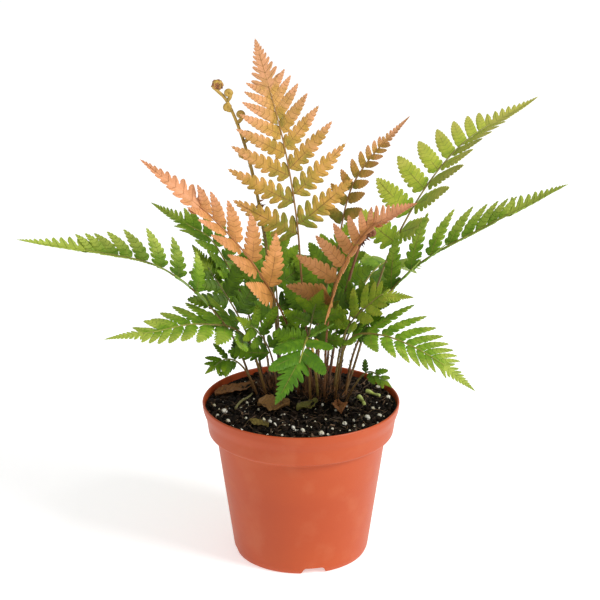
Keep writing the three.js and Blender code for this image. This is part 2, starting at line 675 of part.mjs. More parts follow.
// A stem whose end curls most of a turn, in the plane that faces the front
function curledStem(points, stalk, coil, curl, sides, steps) {
  const end = points[points.length - 1];
  const along = end.clone().sub(points[points.length - 2]);
  const heading = Math.atan2(along.z, along.x);
  const centre = end.clone();
  centre.x -= curl * Math.sin(heading) * coil;
  centre.z += curl * Math.cos(heading) * coil;
  const path = [...points];
  for (let step = 1; step <= steps; step += 1) {
    const share = step / steps;
    const radius = coil * (1 - 0.35 * share);
    const angle = heading + curl * Math.PI * (1.55 * share - 0.5);
    path.push(centre.clone().add(vector(radius * Math.cos(angle), 0, radius * Math.sin(angle))));
  }
  const radii = path.map((_, i) => stalk * (i < points.length ? 1 : 1.15));
  return { centre, solid: toSolid(tube(path, radii, sides)) };
}

// A side hook starts inside the stem and ends in a small coil of its own
function hookSolid(curve, [share, side, length]) {
  const along = curve.getTangentAt(share);
  const out = vector(along.z * side, -0.2, -along.x * side).normalize();
  const base = curve.getPointAt(share).addScaledVector(out, -0.8);
  const end = base.clone().addScaledVector(out, 0.7 * length).addScaledVector(along, 0.4 * length);
  const middle = base.clone().lerp(end, 0.5).addScaledVector(along, -0.08 * length);
  return curledStem([base, middle, end], 0.9, 1.6, side, 4, 3).solid;
}

// The coil closes on a solid core, where the tip of the new frond is rolled up
function crozierSolid({ through, stalk, coil, curl, hooks }) {
  const curve = stalkCurve(through);
  const stem = curledStem(curve.getSpacedPoints(12), stalk, coil, curl, 5, 7);
  const core = new THREE.IcosahedronGeometry(coil * 0.8, 0).scale(1, 0.6, 1);
  core.translate(...stem.centre.toArray());
  let solid = stem.solid.add(toSolid(core));
  for (const hook of hooks) solid = solid.add(hookSolid(curve, hook));
  return solid;
}

// Litter: thin curled blades that lie on the soil

function litterSolid(leaf) {
  const sheet = new Sheet();
  const steps = leaf.width < 4 ? 3 : 5;
  const turn = degrees(leaf.turn);
  const rows = [];
  for (let step = 0; step <= steps; step += 1) {
    const share = step / steps;
    const half = (leaf.width / 2) * (leaf.width < 4 ? 1 : 0.25 + 0.75 * Math.sin(Math.PI * share) ** 0.7);
    const row = [-1, 0, 1].map((side) => {
      const u = (share - 0.5) * leaf.length;
      const v = side * half * (1 + 0.15 * Math.sin(5 * share + side));
      const x = leaf.x + u * Math.cos(turn) - v * Math.sin(turn);
      const y = leaf.y + u * Math.sin(turn) + v * Math.cos(turn);
      const curl = leaf.curl * (side * side * 1.4 + Math.sin(4 * share + leaf.x) ** 2);
      return sheet.point(vector(x, y, soilHeight(x, y) + 1 + curl), side ? BLADE / 2 : BLADE * 0.6);
    });
    rows.push(row);
  }
  for (let step = 0; step < steps; step += 1) {
    const [a, b] = [rows[step], rows[step + 1]];
    sheet.quad(a[1], a[0], b[0], b[1]);
    sheet.quad(a[2], a[1], b[1], b[2]);
  }
  return toSolid(sheet.thicken());
}

// The whole plant in its pot

const fern = new THREE.Group();

function addPiece(name, solid, color, roughness) {
  const material = new THREE.MeshStandardMaterial({ color, roughness, metalness: 0 });
  const mesh = new THREE.Mesh(toGeometry(solid), material);
  mesh.name = name;
  fern.add(mesh);
}

const plans = FRONDS.map(plannedFrond);
const croziers = CROZIERS.map(crozierSolid);
const litter = LITTER.map(litterSolid);

const holes = FRONDS.map((frond) => stalkHole(frond.through, STALK * 0.71 + GAP));
CROZIERS.forEach((crozier) => holes.push(stalkHole(crozier.through, crozier.stalk + GAP)));

addPiece('pot', potSolid(), 0xc8643c, 0.5);
addPiece('soil', soilSolid([...CROWNS.map(crownSocket), ...holes]), 0x2a211b, 0.95);

const crowns = CROWNS.map((crown) => {
  let solid = crownDome(crown);
  for (const hole of holes) solid = solid.subtract(hole);
  solid = largestBody(solid);
  addPiece(crown.name, solid, 0x4a3526, 0.9);
  return solid;
});

const grown = [...croziers, ...crowns];
plans.forEach((plan, i) => {
  const stalks = plans.filter((_, k) => k !== i).map((other) => other.stalk);
  const solid = growLeaflets(plan, [...grown, ...stalks]);
  grown.push(solid);
  addPiece(plan.frond.name, solid, plan.frond.color, 0.6);
});

CROZIERS.forEach((crozier, i) => addPiece(crozier.name, croziers[i], crozier.color, 0.7));
LITTER.forEach((leaf, i) => addPiece(leaf.name, litter[i], leaf.color, 0.9));

export default fern;
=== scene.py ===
import math
from functools import lru_cache

import bmesh
import bpy
import numpy as np
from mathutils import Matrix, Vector, noise


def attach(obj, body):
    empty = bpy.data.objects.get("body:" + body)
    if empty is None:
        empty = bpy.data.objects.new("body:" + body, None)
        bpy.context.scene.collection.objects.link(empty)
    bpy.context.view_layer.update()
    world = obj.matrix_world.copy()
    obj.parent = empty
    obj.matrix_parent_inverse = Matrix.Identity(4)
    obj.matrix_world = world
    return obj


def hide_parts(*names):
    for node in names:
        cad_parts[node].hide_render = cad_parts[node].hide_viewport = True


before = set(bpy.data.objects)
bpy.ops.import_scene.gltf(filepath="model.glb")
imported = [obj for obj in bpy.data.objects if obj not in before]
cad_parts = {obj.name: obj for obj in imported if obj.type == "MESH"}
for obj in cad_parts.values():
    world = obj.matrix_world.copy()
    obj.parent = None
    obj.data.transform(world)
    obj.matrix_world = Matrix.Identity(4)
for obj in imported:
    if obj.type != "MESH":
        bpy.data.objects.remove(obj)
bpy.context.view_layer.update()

# Young autumn fern in a plastic nursery pot. Geometry is worked out in millimetres, and made
# into meshes in metres. The front of the plant faces -Y.

MM = 0.001
SHARP = math.radians(50)

# Fronds, as in the frame: the way the upper face looks, how far its halves fold up from it, how
# far the pinnae sweep forward for their length, how fast they lengthen below the tip, their
# angles to the stalk by the tip and at the base of the blade, the bare share of the stalk, the
# share of the blade that is its tip, the pairs of pinnae, the longest pinna, and the points that
# the stalk passes through from root to tip. Only here: look names the colours, cut is how deep
# the lowest pinnae are cut, from 0 to 1 at their rib, taper is how blunt the pinnae are, wide is
# their width for that in the frame, and fresh is how much of the colours of young tips it has.
ROOT_Z = 92
DARK = dict(look="dark", fold=6, cut=0.75, taper=2.8, wide=1.1, fresh=0.8,
            sweep=0.2, swell=1.3, angles=(52, 66), bare=0.5, tip=0.3)
LOW = dict(DARK, angles=(50, 65), tip=0.28)
BACK = dict(look="green", fold=8, cut=0.45, taper=2.8, wide=1.1, fresh=1,
            sweep=0.2, swell=1.3, angles=(50, 65), bare=0.42, tip=0.28, pairs=6)
FRONDS = [
    dict(name="frond_copper_tall", look="copper", face=(0, -1, 0.15), fold=4,
         cut=1, taper=1.7, wide=1.05, fresh=1,
         sweep=0.14, swell=1.25, angles=(47, 58), bare=0.48, tip=0.24, pairs=8, reach=46,
         through=[(9, 10), (1, 6, 180), (-3, 6, 230), (-12, 10, 282), (-29, 16, 344)]),
    dict(name="frond_copper_left", look="orange", face=(0.6, -1, 0.5), fold=34,
         cut=0.55, taper=1.8, wide=1, fresh=1,
         sweep=0.36, swell=1.05, angles=(30, 42), bare=0.4, tip=0.36, pairs=5, reach=34,
         through=[(-1, 11), (-6, 3, 148), (-29, -18, 204), (-62, -30, 247), (-99, -36, 280)]),
    dict(name="frond_copper_right", look="orange", face=(-0.6, -0.66, 0.58), fold=42,
         cut=0.55, taper=1.9, wide=1.1, fresh=1,
         sweep=0.1, swell=1.2, angles=(14, 92), bare=0.47, tip=0.3, pairs=7, reach=31,
         through=[(15, 3), (17, -6, 157), (24, -19, 199), (44, -30, 235), (72, -34, 251)]),
    dict(name="frond_copper_small", look="copper", face=(-0.5, -1, 0.3), fold=24,
         cut=0.15, taper=2.4, wide=0.9, fresh=0.8,
         sweep=0.3, swell=0.9, angles=(50, 65), bare=0.6, tip=0.28, pairs=8, reach=19,
         through=[(15, 16), (22, 18, 180), (29, 15, 235), (42, 12, 264), (69, 8, 296)]),
    dict(name="frond_lime_upper_right", look="lime", face=(-0.6, -0.5, 0.6), fold=24,
         cut=0.5, taper=2.3, wide=0.93, fresh=1,
         sweep=0.15, swell=1.25, angles=(56, 78), bare=0.42, tip=0.28, pairs=8, reach=36,
         through=[(26, 16), (36, 24, 122), (61, 42, 199), (104, 80, 254), (163, 120, 281)]),
    dict(name="frond_green_front_right", look="green", face=(0.05, -0.3, 0.95), fold=16,
         cut=0.65, taper=2.8, wide=0.94, fresh=0.95,
         sweep=0.3, swell=0.88, angles=(56, 68), bare=0.4, tip=0.26, pairs=9, reach=42,
         through=[(21, 6), (29, -10, 148), (50, -26, 161), (82, -44, 153), (109, -58, 135)]),
    dict(name="frond_green_front_left", look="green", face=(0, -0.3, 0.95), fold=4,
         cut=0.6, taper=3, wide=1, fresh=1.1,
         sweep=0.34, swell=0.95, angles=(54, 76), bare=0.4, tip=0.26, pairs=8, reach=31,
         through=[(-20, 14), (-36, -4, 151), (-65, -20, 166), (-94, -32, 165), (-124, -42, 164)]),
    dict(name="frond_green_front_centre", look="green", face=(-0.1, -0.8, 0.7), fold=6,
         cut=0.35, taper=3.6, wide=1.15, fresh=0,
         sweep=0.2, swell=1.9, angles=(50, 65), bare=0.5, tip=0.45, pairs=3, reach=20,
         through=[(7, 2), (4, -18, 150), (3, -46, 164), (-4, -72, 151), (-16, -86, 137)]),
    dict(name="frond_green_right", look="green", face=(-0.25, -0.35, 0.95), fold=38,
         cut=0.65, taper=2, wide=0.95, fresh=1.15,
         sweep=0.36, swell=1.15, angles=(36, 48), bare=0.4, tip=0.3, pairs=8, reach=33,
         through=[(27, 10), (38, 8, 145), (70, 2, 194), (117, -6, 227), (168, -14, 257)]),
    dict(name="frond_green_long_left", look="green", face=(0.1, -0.35, 0.95), fold=38,
         cut=0.6, taper=1.9, wide=1, fresh=1.4,
         sweep=0.4, swell=1.3, angles=(42, 72), bare=0.4, tip=0.33, pairs=8, reach=24,
         through=[(-27, 20), (-48, 14, 150), (-86, 0, 195), (-130, -12, 212), (-179, -22, 223)]),
    dict(name="frond_green_back_left", look="green", face=(0.3, -0.6, 0.9), fold=24,
         cut=0.6, taper=2.2, wide=1, fresh=0.7,
         sweep=0.36, swell=1.3, angles=(50, 65), bare=0.5, tip=0.33, pairs=6, reach=21,
         through=[(-23, 27), (-34, 34, 150), (-56, 42, 198), (-76, 48, 212), (-100, 54, 225)]),
    dict(name="frond_lime_middle_right", look="lime", face=(-0.1, -0.7, 0.8), fold=10,
         cut=0.5, taper=2.6, wide=1, fresh=0.35,
         sweep=0.3, swell=1.3, angles=(50, 65), bare=0.5, tip=0.35, pairs=5, reach=17,
         through=[(20, 11), (28, 2, 150), (47, -8, 178), (58, -14, 185), (72, -20, 184)]),
    dict(DARK, name="frond_dark_front_left", face=(-0.1, -0.9, 0.5), pairs=3, reach=27,
         through=[(-14, 13), (-19, 0, 135), (-28, -12, 158), (-42, -22, 172)]),
    dict(DARK, name="frond_dark_front_right", face=(0.1, -0.9, 0.5), pairs=3, reach=27,
         through=[(3, 6), (4, -2, 140), (8, -14, 172), (14, -26, 192)]),
    dict(DARK, name="frond_dark_middle_left", face=(0.1, -0.7, 0.7), pairs=4, reach=28,
         through=[(-21, 21), (-36, 20, 145), (-54, 24, 178), (-72, 32, 203)]),
    dict(DARK, name="frond_dark_middle", face=(0.1, -0.8, 0.6), bare=0.46, pairs=4, reach=30,
         through=[(-13, 26), (-15, 34, 145), (-18, 44, 185), (-24, 56, 212)]),
    dict(DARK, name="frond_dark_middle_right", face=(-0.1, -0.8, 0.6), bare=0.44, pairs=4, reach=31,
         through=[(8, 18), (12, 28, 145), (22, 42, 190), (34, 56, 215)]),
    dict(DARK, name="frond_dark_centre", face=(0, -0.8, 0.6), pairs=3, reach=26,
         through=[(3.5, 15), (5, 14, 135), (12, 4, 160), (25, -8, 178)]),
    dict(DARK, name="frond_dark_right", face=(-0.1, -0.8, 0.6), pairs=4, reach=26,
         through=[(23.5, 12.5), (29, 12, 140), (42, 8, 165), (62, 10, 188)]),
    dict(LOW, name="frond_dark_low_left", face=(-0.3, -0.8, 0.5), bare=0.6, pairs=4, reach=14,
         through=[(-25, 14), (-36, 2, 125), (-48, -12, 139), (-62, -24, 133)]),
    dict(LOW, name="frond_dark_low_right", face=(0.3, -0.8, 0.6), bare=0.65, pairs=3, reach=9,
         through=[(25.5, 6), (35, -6, 118), (45, -14, 131), (59, -20, 122)]),
    dict(BACK, name="frond_green_back_right", face=(0.3, 0.6, 0.9), reach=32,
         through=[(21, 21), (34, 48, 150), (56, 82, 173), (82, 122, 152)]),
    dict(BACK, name="frond_green_back", face=(0.05, 0.6, 0.9), reach=33,
         through=[(12, 24), (11, 54, 148), (4, 100, 172), (-4, 146, 146)]),
    dict(BACK, name="frond_green_back_low_left", face=(-0.3, 0.6, 0.9), reach=32,
         through=[(-18, 30), (-30, 62, 148), (-50, 100, 168), (-76, 138, 144)]),
]

# How the frame sets out a frond
STALK = 1.7
STALK_TIP = 0.8
BASE_SHARE = 0.36
SHIFT_SHARE = 0.3
WIDTH_TO_LENGTH = 0.55
TIP_WIDTH = 1.5
TIP_SLIMNESS = 0.6
SAG = (0, 0, -0.08)
BENDS = [(0, 1), (12, 1), (-12, 1), (24, 1), (-24, 1), (0, 0.8), (38, 1), (-38, 1), (18, 0.75),
         (-18, 0.75), (0, 0.55), (35, 0.55), (-35, 0.55), (0, 0.35)]
NEAR_TIP = 0.6

# Leaf detail that only the eye needs. A lobe has a vein in its middle, and its points lie across
# it from edge to edge, in rows from the wing beside the rib, which stays whole, to its own end.
LEAF_HALF = 0.15
RIB_HALF = 0.12
RIB_GROWTH = 0.005
RIB_SINK = 0.12
LOBE_STEPS = 4
ACROSS = np.linspace(-1, 1, LOBE_STEPS + 1)
WING_ROWS = 2
FREE_ROWS = 4
WING_LEAST = 0.08
WING_MOST = 0.96
LOBED = 0.96
FOOT = 0.1
FALL = 0.1
DROOP = 0.16
QUILT = 0.09
ARCH = 0.2
TOOTH = 0.06
CORNER = 0.16
SWAY = 0.012

# How pinnae are cut: less from the base of the frond to its tip, and into more lobes where they
# are longer and less deeply cut. The frond's tip has fewer lobes where it is wider.
CUT_FADE = (0.37, 0.5)
CUT_LEAST = 0.04
SHARP_LOBES = 0.3
SIDE_LOBES = (5, 12)
LOBE_BASE = 4
LOBES_PER_MM = 0.19
LOBES_LOST = 0.09
TIP_LOBES = (7, 12)
TIP_LOBE_RULE = (288, 6)
TIP_EDGE = dict(cut=0.74, sharp=0.15, lean=0.75, crowd=1.75)

# How fine the other pieces are
RIB_STEPS = 8
STALK_STEPS = 60
STALK_SCALES = 60
SCALE_REACH = 0.4
COIL_TURNS = 2.3
COIL_STEPS = 60
CROZIER_STEPS = 70
CROZIER_SCALES = 90
TUFT = 26
LITTER_STEPS = 40
LITTER_COLUMNS = 17
STICK_STEPS = 22
CROWN_RINGS = 26
CROWN_SIDES = 72
CROWN_SCALES = 700
SOIL_RINGS = 70
SOIL_SIDES = 220
CRUMBS = 3200
BARK_CHIPS = 150
FIBRES = 420
FINE_PERLITE = 130
POT_SIDES = 192

# Sizes in millimetres and shares that are drawn at random: the least, and how much more there can
# be. Sides are what the three half sizes of a lump are multiplied by, and chips have halves set.
SCALE_LENGTH = (2, 3)
SCALE_WIDTH = (0.5, 0.4)
BEAD_SIDES = (0.4, 0.3)
TUFT_LENGTH = (3, 3)
TUFT_WIDTH = (2, 1.6)
CROWN_SCALE_LENGTH = (2.5, 4)
CROWN_SCALE_WIDTH = (0.6, 0.7)
CRUMB_HALF = (0.4, 1.9)
CRUMB_SIDES = (0.5, 0.7)
CRUMB_LIFT = (0.2, 0.5)
CHIP_HALVES = (2.2, 1.1, 0.28)
CHIP_SIDES = (0.45, 0.7)
FIBRE_HALF = (1.5, 6)
FIBRE_RADIUS = (0.1, 0.14)
GRAIN_HALF = (0.25, 0.8)
GRAIN_SIDES = (0.7, 0.4)

# Seeds of the random draws
FROND_SEED = 100
CROZIER_SEED = 200
CROWN_SEED = 300
LITTER_SEED = 400
SOIL_SEED = 500

# Coiled new fronds, as in the frame. Only here: tuft is where withered leaflets cling to the stalk.
CROZIERS = [
    dict(name="crozier_tall", stalk=1.2, coil=2.9, curl=-1, tuft=0.62,
         through=[(-13, 17), (-17, 20, 160), (-26, 22, 226), (-35, 20, 270), (-46, 18, 301),
                  (-54.5, 18, 311)],
         hooks=[(0.95, 1, 8), (0.92, -1, 5), (0.88, 1, 9), (0.82, 1, 8), (0.77, -1, 7)]),
    dict(name="crozier_small", stalk=1, coil=2.3, curl=-1, tuft=0,
         through=[(12, 6), (10, -2, 122), (7, -8, 148)],
         hooks=[]),
    dict(name="bud_withered", stalk=1, coil=2.4, curl=1, tuft=0.93,
         through=[(16, 22), (25, 29, 150), (37, 34, 196), (45, 34, 214)],
         hooks=[(0.95, 1, 7), (0.9, -1, 5)]),
]
HOOK_STALK = 1.1
HOOK_COIL = 1.9

# Fallen leaflets and sticks on the soil, as in the frame
LITTER = [
    dict(name="litter_leaf_left", x=-44, y=20, length=29, width=15, turn=27, curl=1.3, tone=0.4),
    dict(name="litter_leaf_front", x=-18, y=-9, length=21, width=19, turn=-12, curl=2, tone=0.3),
    dict(name="litter_leaf_centre", x=4, y=-11, length=16, width=8, turn=33, curl=1.3, tone=0),
    dict(name="litter_leaf_rim", x=-27, y=-37, length=15, width=7, turn=-38, curl=0.8, tone=0.1),
    dict(name="litter_leaf_right", x=25, y=-12, length=13, width=9, turn=100, curl=1.8, tone=1),
]
STICKS = [
    dict(name="twig", x=-38, y=1, length=24, width=1.6, turn=66, curl=0.4),
    dict(name="stub_front", x=40, y=1, length=12, width=3.6, turn=-75, curl=0.5),
    dict(name="stub_back", x=48, y=13, length=11, width=3.2, turn=-40, curl=0.5),
]
LITTER_HALF = 0.22

# The perlite grains that show most: place on the soil and radius
PERLITE_SPOTS = [
    (1, -10, 1.0), (14, -7, 1.2), (2, -21, 1.1), (-5, -40, 1.5), (4, -36, 0.9), (1, -45, 1.8),
    (13, -51, 2.3), (23, -13, 1.2), (-20, -32, 1.7), (-17, -38, 1.9), (-24, -29, 1.5),
    (-50, -14, 2.4), (-54, -21, 1.6), (-47, -29, 1.8), (-52, 31, 1.7), (-31, 5, 1.1),
    (28, -35, 1.8), (34, -30, 1.2), (40, -38, 1.3), (43, -25, 2.0), (51, -20, 1.8),
    (58, 9, 2.0), (52, 30, 1.8), (-8, -30, 0.9), (-38, -43, 1.3), (9, -29, 0.9), (20, -42, 1.1),
    (-12, -52, 1.2), (31, -46, 1.2), (47, -8, 1.2), (35, -14, 1.0), (-57, -4, 1.3), (16, -26, 1.0),
]

# Stage, in metres. The view lies one pixel of the photo off its middle.
PHOTO_WIDTH = 600
CAMERA_PLACE = (0, -1.2264, 0.6065)
CAMERA_DOWN_DEG = 19.37
CAMERA_SHIFT = -1 / PHOTO_WIDTH
LENS = 120.43
ROOM_LIGHT = 0.46
LAMP_AIM = (0, 0, 0.14)
LAMPS = [
    ("key_lamp", (1.8, -1.0, 1.5), 1.0, 50),
    ("fill_lamp", (-1.8, -1.0, 0.9), 1.2, 5),
]
FLOOR_HALF = 9

# Crowns, soil and pot, as in the frame
CROWN_FOOT = 86
CROWN_PROFILE = [(0, 0), (0.8, 0), (0.96, 0.3), (0.96, 0.62), (0.86, 0.84), (0.5, 0.97), (0, 1)]
CROWNS = [
    dict(name="crown_left", x=-19, y=21, radius_x=13, radius_y=13, top=110),
    dict(name="crown_right", x=13, y=12, radius_x=18, radius_y=15, top=111),
]
SOIL_LEVEL = 102
SOIL_WAVE = 0.7
MOUND = 4
SOIL_EDGE = 62.6
SOIL_UNDER = [(20.6, 1.55), (24, 6.55), (42.9, 6.55), (54.7, 84.5), (59.9, 87.2), (60.7, 95.2)]
POT_PROFILE = [
    (0.6, 0), (22, 0), (25, 5), (39.4, 5), (40.8, 0), (43.4, 0), (44.8, 3), (56, 83), (61, 85),
    (62.4, 95), (64.5, 101), (65, 105.4), (64.4, 106.2), (63.6, 105.8), (63.2, 101.2),
    (61.2, 95.3), (60.2, 86.8), (55.1, 84.2), (43.4, 6.2), (24, 6.2), (20.8, 1.2), (0.6, 1.2),
]
POT_EASE = 1.3
NOTCH_START_DEG = -79
NOTCH_REACH = (37.6, 47.6)
NOTCH_SHAPE = [(-11, -1), (-8.3, 0), (-6.4, 4.4), (6.4, 4.4), (8.3, 0), (11, -1)]
NOTCH_EASE = 1.6
DRAIN_SIZE = (5, 9, 4)
DRAIN_PLACE = (33, 5.6)


# Vectors and paths

def unit(vector):
    return vector / np.linalg.norm(vector, axis=-1, keepdims=True)


def turned(vector, axis, degrees):
    """vector turned about a unit axis by the right-hand rule"""
    cosine, sine = math.cos(math.radians(degrees)), math.sin(math.radians(degrees))
    return vector * cosine + np.cross(axis, vector) * sine + axis * (axis @ vector) * (1 - cosine)


def around(sides):
    """Cosines and sines of angles spread evenly round a circle"""
    angles = np.arange(sides) * 2 * math.pi / sides
    return np.cos(angles), np.sin(angles)


def drawn(draw, span, *shape, power=1):
    """Random numbers over a span, with more of them near its low end for a higher power"""
    low, more = span
    return low + more * draw.random(shape or None) ** power


class Path:
    """A smooth path through points, with places given as shares of its length"""

    def __init__(self, through):
        self.points = np.array([(*point, ROOT_Z)[:3] for point in through], float)
        first = 2 * self.points[0] - self.points[1]
        last = 2 * self.points[-1] - self.points[-2]
        self.padded = np.vstack([first, self.points, last])
        self.knots = np.linspace(0, 1, 201)
        steps = np.linalg.norm(np.diff(self.raw(self.knots), axis=0), axis=1)
        self.run = np.concatenate([[0], np.cumsum(steps)])
        self.length = self.run[-1]

    def raw(self, t):
        t = np.atleast_1d(t)
        spans = len(self.points) - 1
        span = np.clip(np.floor(t * spans), 0, spans - 1).astype(int)
        w = (t * spans - span)[:, None]
        a, b, c, d = (self.padded[span + i] for i in range(4))
        leave = 0.5 * (c - a)
        arrive = 0.5 * (d - b)
        return (b + leave * w + (3 * (c - b) - 2 * leave - arrive) * w ** 2
                + (2 * (b - c) + leave + arrive) * w ** 3)

    def times(self, shares):
        return np.interp(np.atleast_1d(shares) * self.length, self.run, self.knots)

    def at(self, shares):
        return self.raw(self.times(shares))

    def heading(self, shares):
        t = self.times(shares)
        return unit(self.raw(np.minimum(t + 1e-4, 1)) - self.raw(np.maximum(t - 1e-4, 0)))

    def frame(self, face, share):
        """Place, along, up and across at one share"""
        along = self.heading(share)[0]
        up = np.array(face, float)
        up = unit(up - along * (up @ along))
        return self.at(share)[0], along, up, np.cross(along, up)


# Pieces: closed skins in millimetres, with marks at each point that the materials read

MARKS = ("frond", "pinna", "vein", "margin", "under", "tone")

# Places in the list of a piece's materials
MAIN, SECOND, THIRD = range(3)


def placed(name, data):
    """A new object in the scene"""
    item = bpy.data.objects.new(name, data)
    bpy.context.scene.collection.objects.link(item)
    return item


def settle(name, mesh, node, materials):
    """The Blender piece that stands for a node of the frame"""
    mesh.shade_smooth()
    mesh.set_sharp_from_angle(angle=SHARP)
    for material in materials:
        mesh.materials.append(material)
    piece = placed(name, mesh)
    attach(piece, "root")
    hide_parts(node)


class Skin:
    """All the closed shells of one piece"""

    def __init__(self):
        self.points = []
        self.faces = []
        self.slots = []
        self.marks = {name: [] for name in MARKS}
        self.count = 0

    def add(self, points, faces, slot=MAIN, **marks):
        self.points.append(points)
        self.faces.append(np.asarray(faces) + self.count)
        self.slots.append(np.full(len(faces), slot))
        for name in MARKS:
            self.marks[name].append(np.broadcast_to(marks.get(name, 0.0), len(points)))
        self.count += len(points)

    def add_many(self, shells, faces, slot, tone):
        """Many shells with the same triangles, each with a tone of its own"""
        count, size, _ = shells.shape
        faces = faces + np.arange(count)[:, None, None] * size
        self.add(shells.reshape(-1, 3), faces.reshape(-1, 3), slot, tone=np.repeat(tone, size))

    def mesh(self, name):
        points = np.concatenate(self.points) * MM
        faces = np.concatenate(self.faces)
        mesh = bpy.data.meshes.new(name)
        mesh.vertices.add(len(points))
        mesh.vertices.foreach_set("co", points.ravel())
        mesh.loops.add(faces.size)
        mesh.loops.foreach_set("vertex_index", faces.ravel().astype(np.int32))
        mesh.polygons.add(len(faces))
        mesh.polygons.foreach_set("loop_start", np.arange(len(faces), dtype=np.int32) * 3)
        mesh.polygons.foreach_set("material_index", np.concatenate(self.slots).astype(np.int32))
        mesh.update(calc_edges=True)
        for mark, values in self.marks.items():
            attribute = mesh.attributes.new(mark, "FLOAT", "POINT")
            attribute.data.foreach_set("value", np.concatenate(values).astype(np.float32))
        return mesh

    def make(self, word, node, slot, materials):
        """The piece for a node of the frame, named by a word and the node"""
        name = f"{word}_{node}"
        settle(name, self.mesh(name), node, materials)


def strips(rows):
    """Triangles between each row of point numbers and the next, which runs the same way"""
    parts = []
    for low, high in zip(rows[:-1], rows[1:]):
        a, b, c, d = low[:-1], low[1:], high[1:], high[:-1]
        parts += [np.stack([a, b, c], 1), np.stack([a, c, d], 1)]
    return np.concatenate(parts)


def thicken(points, faces, half):
    """A closed thin shell round a sheet: upper side first, then its under side"""
    count = len(points)
    a, b, c = (points[faces[:, i]] for i in range(3))
    area = np.cross(b - a, c - a)
    normals = np.zeros_like(points)
    for corner in range(3):
        np.add.at(normals, faces[:, corner], area)
    step = unit(normals + 1e-12) * half
    edges = np.concatenate([faces[:, [0, 1]], faces[:, [1, 2]], faces[:, [2, 0]]])
    forward = edges[:, 0] * count + edges[:, 1]
    backward = edges[:, 1] * count + edges[:, 0]
    low, high = edges[~np.isin(forward, backward)].T
    wall = np.concatenate([
        np.stack([low, low + count, high + count], 1),
        np.stack([low, high + count, high], 1),
    ])
    under = faces[:, [0, 2, 1]] + count
    return np.concatenate([points + step, points - step]), np.concatenate([faces, under, wall])


def add_sheet(skin, points, faces, half, **marks):
    shell, shell_faces = thicken(points, faces, half)
    under = np.repeat([0.0, 1.0], len(points))
    both = {name: np.tile(np.broadcast_to(value, len(points)), 2) for name, value in marks.items()}
    skin.add(shell, shell_faces, under=under, **both)


def add_rings(skin, rings, ends=None, slot=MAIN, **marks):
    """Closed rings of points, with a mark for each ring, and a point past each end. It is the
    middle of the end where none is given."""
    rings = np.asarray(rings)
    count, sides, _ = rings.shape
    if ends is None:
        ends = rings[[0, -1]].mean(axis=1)
    rows = np.arange(count * sides).reshape(count, sides)
    closed = np.hstack([rows, rows[:, :1]])
    foot, tip = np.full(sides, count * sides), np.full(sides, count * sides + 1)
    faces = np.concatenate([
        strips(closed),
        np.stack([closed[0][1:], closed[0][:-1], foot], 1),
        np.stack([closed[-1][:-1], closed[-1][1:], tip], 1),
    ])
    for name, value in marks.items():
        value = np.broadcast_to(value, count)
        marks[name] = np.concatenate([np.repeat(value, sides), value[[0, -1]]])
    skin.add(np.vstack([rings.reshape(-1, 3), ends]), faces, slot, **marks)


def add_tube(skin, points, radii, sides, slot=MAIN, **marks):
    """A round stem along points, closed at both ends with a low cone"""
    points = np.asarray(points, float)
    along = unit(np.gradient(points, axis=0))
    side = unit(np.cross(along[0], (0.13, 0.99, 0.07)))
    cosines, sines = around(sides)
    rings = []
    for place, heading, radius in zip(points, along, radii):
        side = unit(side - heading * (side @ heading))
        other = np.cross(heading, side)
        rings.append(place + radius * (np.outer(cosines, side) + np.outer(sines, other)))
    ends = [points[0] - along[0] * radii[0] * 0.4, points[-1] + along[-1] * radii[-1] * 0.6]
    add_rings(skin, rings, ends, slot, **marks)


def add_spikes(skin, roots, tips, sides, widths, draw, slot):
    """Thin pointed scales, each closed by four faces"""
    tone = draw.random(len(roots))
    direction = unit(tips - roots)
    across = unit(np.cross(direction, sides)) * widths[:, None]
    lift = unit(np.cross(direction, across)) * widths[:, None] * 0.25
    corners = np.stack([roots - across / 2, roots + across / 2, roots + lift, tips], 1)
    skin.add_many(corners, np.array([(0, 2, 1), (0, 1, 3), (1, 2, 3), (2, 0, 3)]), slot, tone)


@lru_cache(maxsize=None)
def ball(level):
    """Points and triangles of a ball of radius 1"""
    mesh = bmesh.new()
    bmesh.ops.create_icosphere(mesh, subdivisions=level, radius=1)
    points = np.array([vertex.co[:] for vertex in mesh.verts])
    faces = np.array([[vertex.index for vertex in face.verts] for face in mesh.faces])
    mesh.free()
    return points, faces


def add_lumps(skin, centres, sizes, draw, level, rough, slot=MAIN):
    """Irregular lumps: balls that are dented, squeezed to three half sizes and turned at random"""
    points, faces = ball(level)
    count = len(centres)
    tone = draw.random(count)
    waves = np.einsum("kj,nmj->nkm", points, 3 * draw.normal(size=(count, 4, 3)))
    dents = np.sin(waves + 6 * draw.random((count, 1, 4))).mean(axis=2)
    shapes = points * (1 + 2 * rough * dents[:, :, None]) * np.asarray(sizes)[:, None]
    turns = np.linalg.qr(draw.normal(size=(count, 3, 3)))[0]
    turns *= np.sign(np.linalg.det(turns))[:, None, None]
    shapes = np.einsum("nij,nkj->nki", turns, shapes) + centres[:, None]
    skin.add_many(shapes, faces, slot, tone)


# Pinnae: a leaf blade on a rib, cut into pinnules that merge into teeth towards its tip

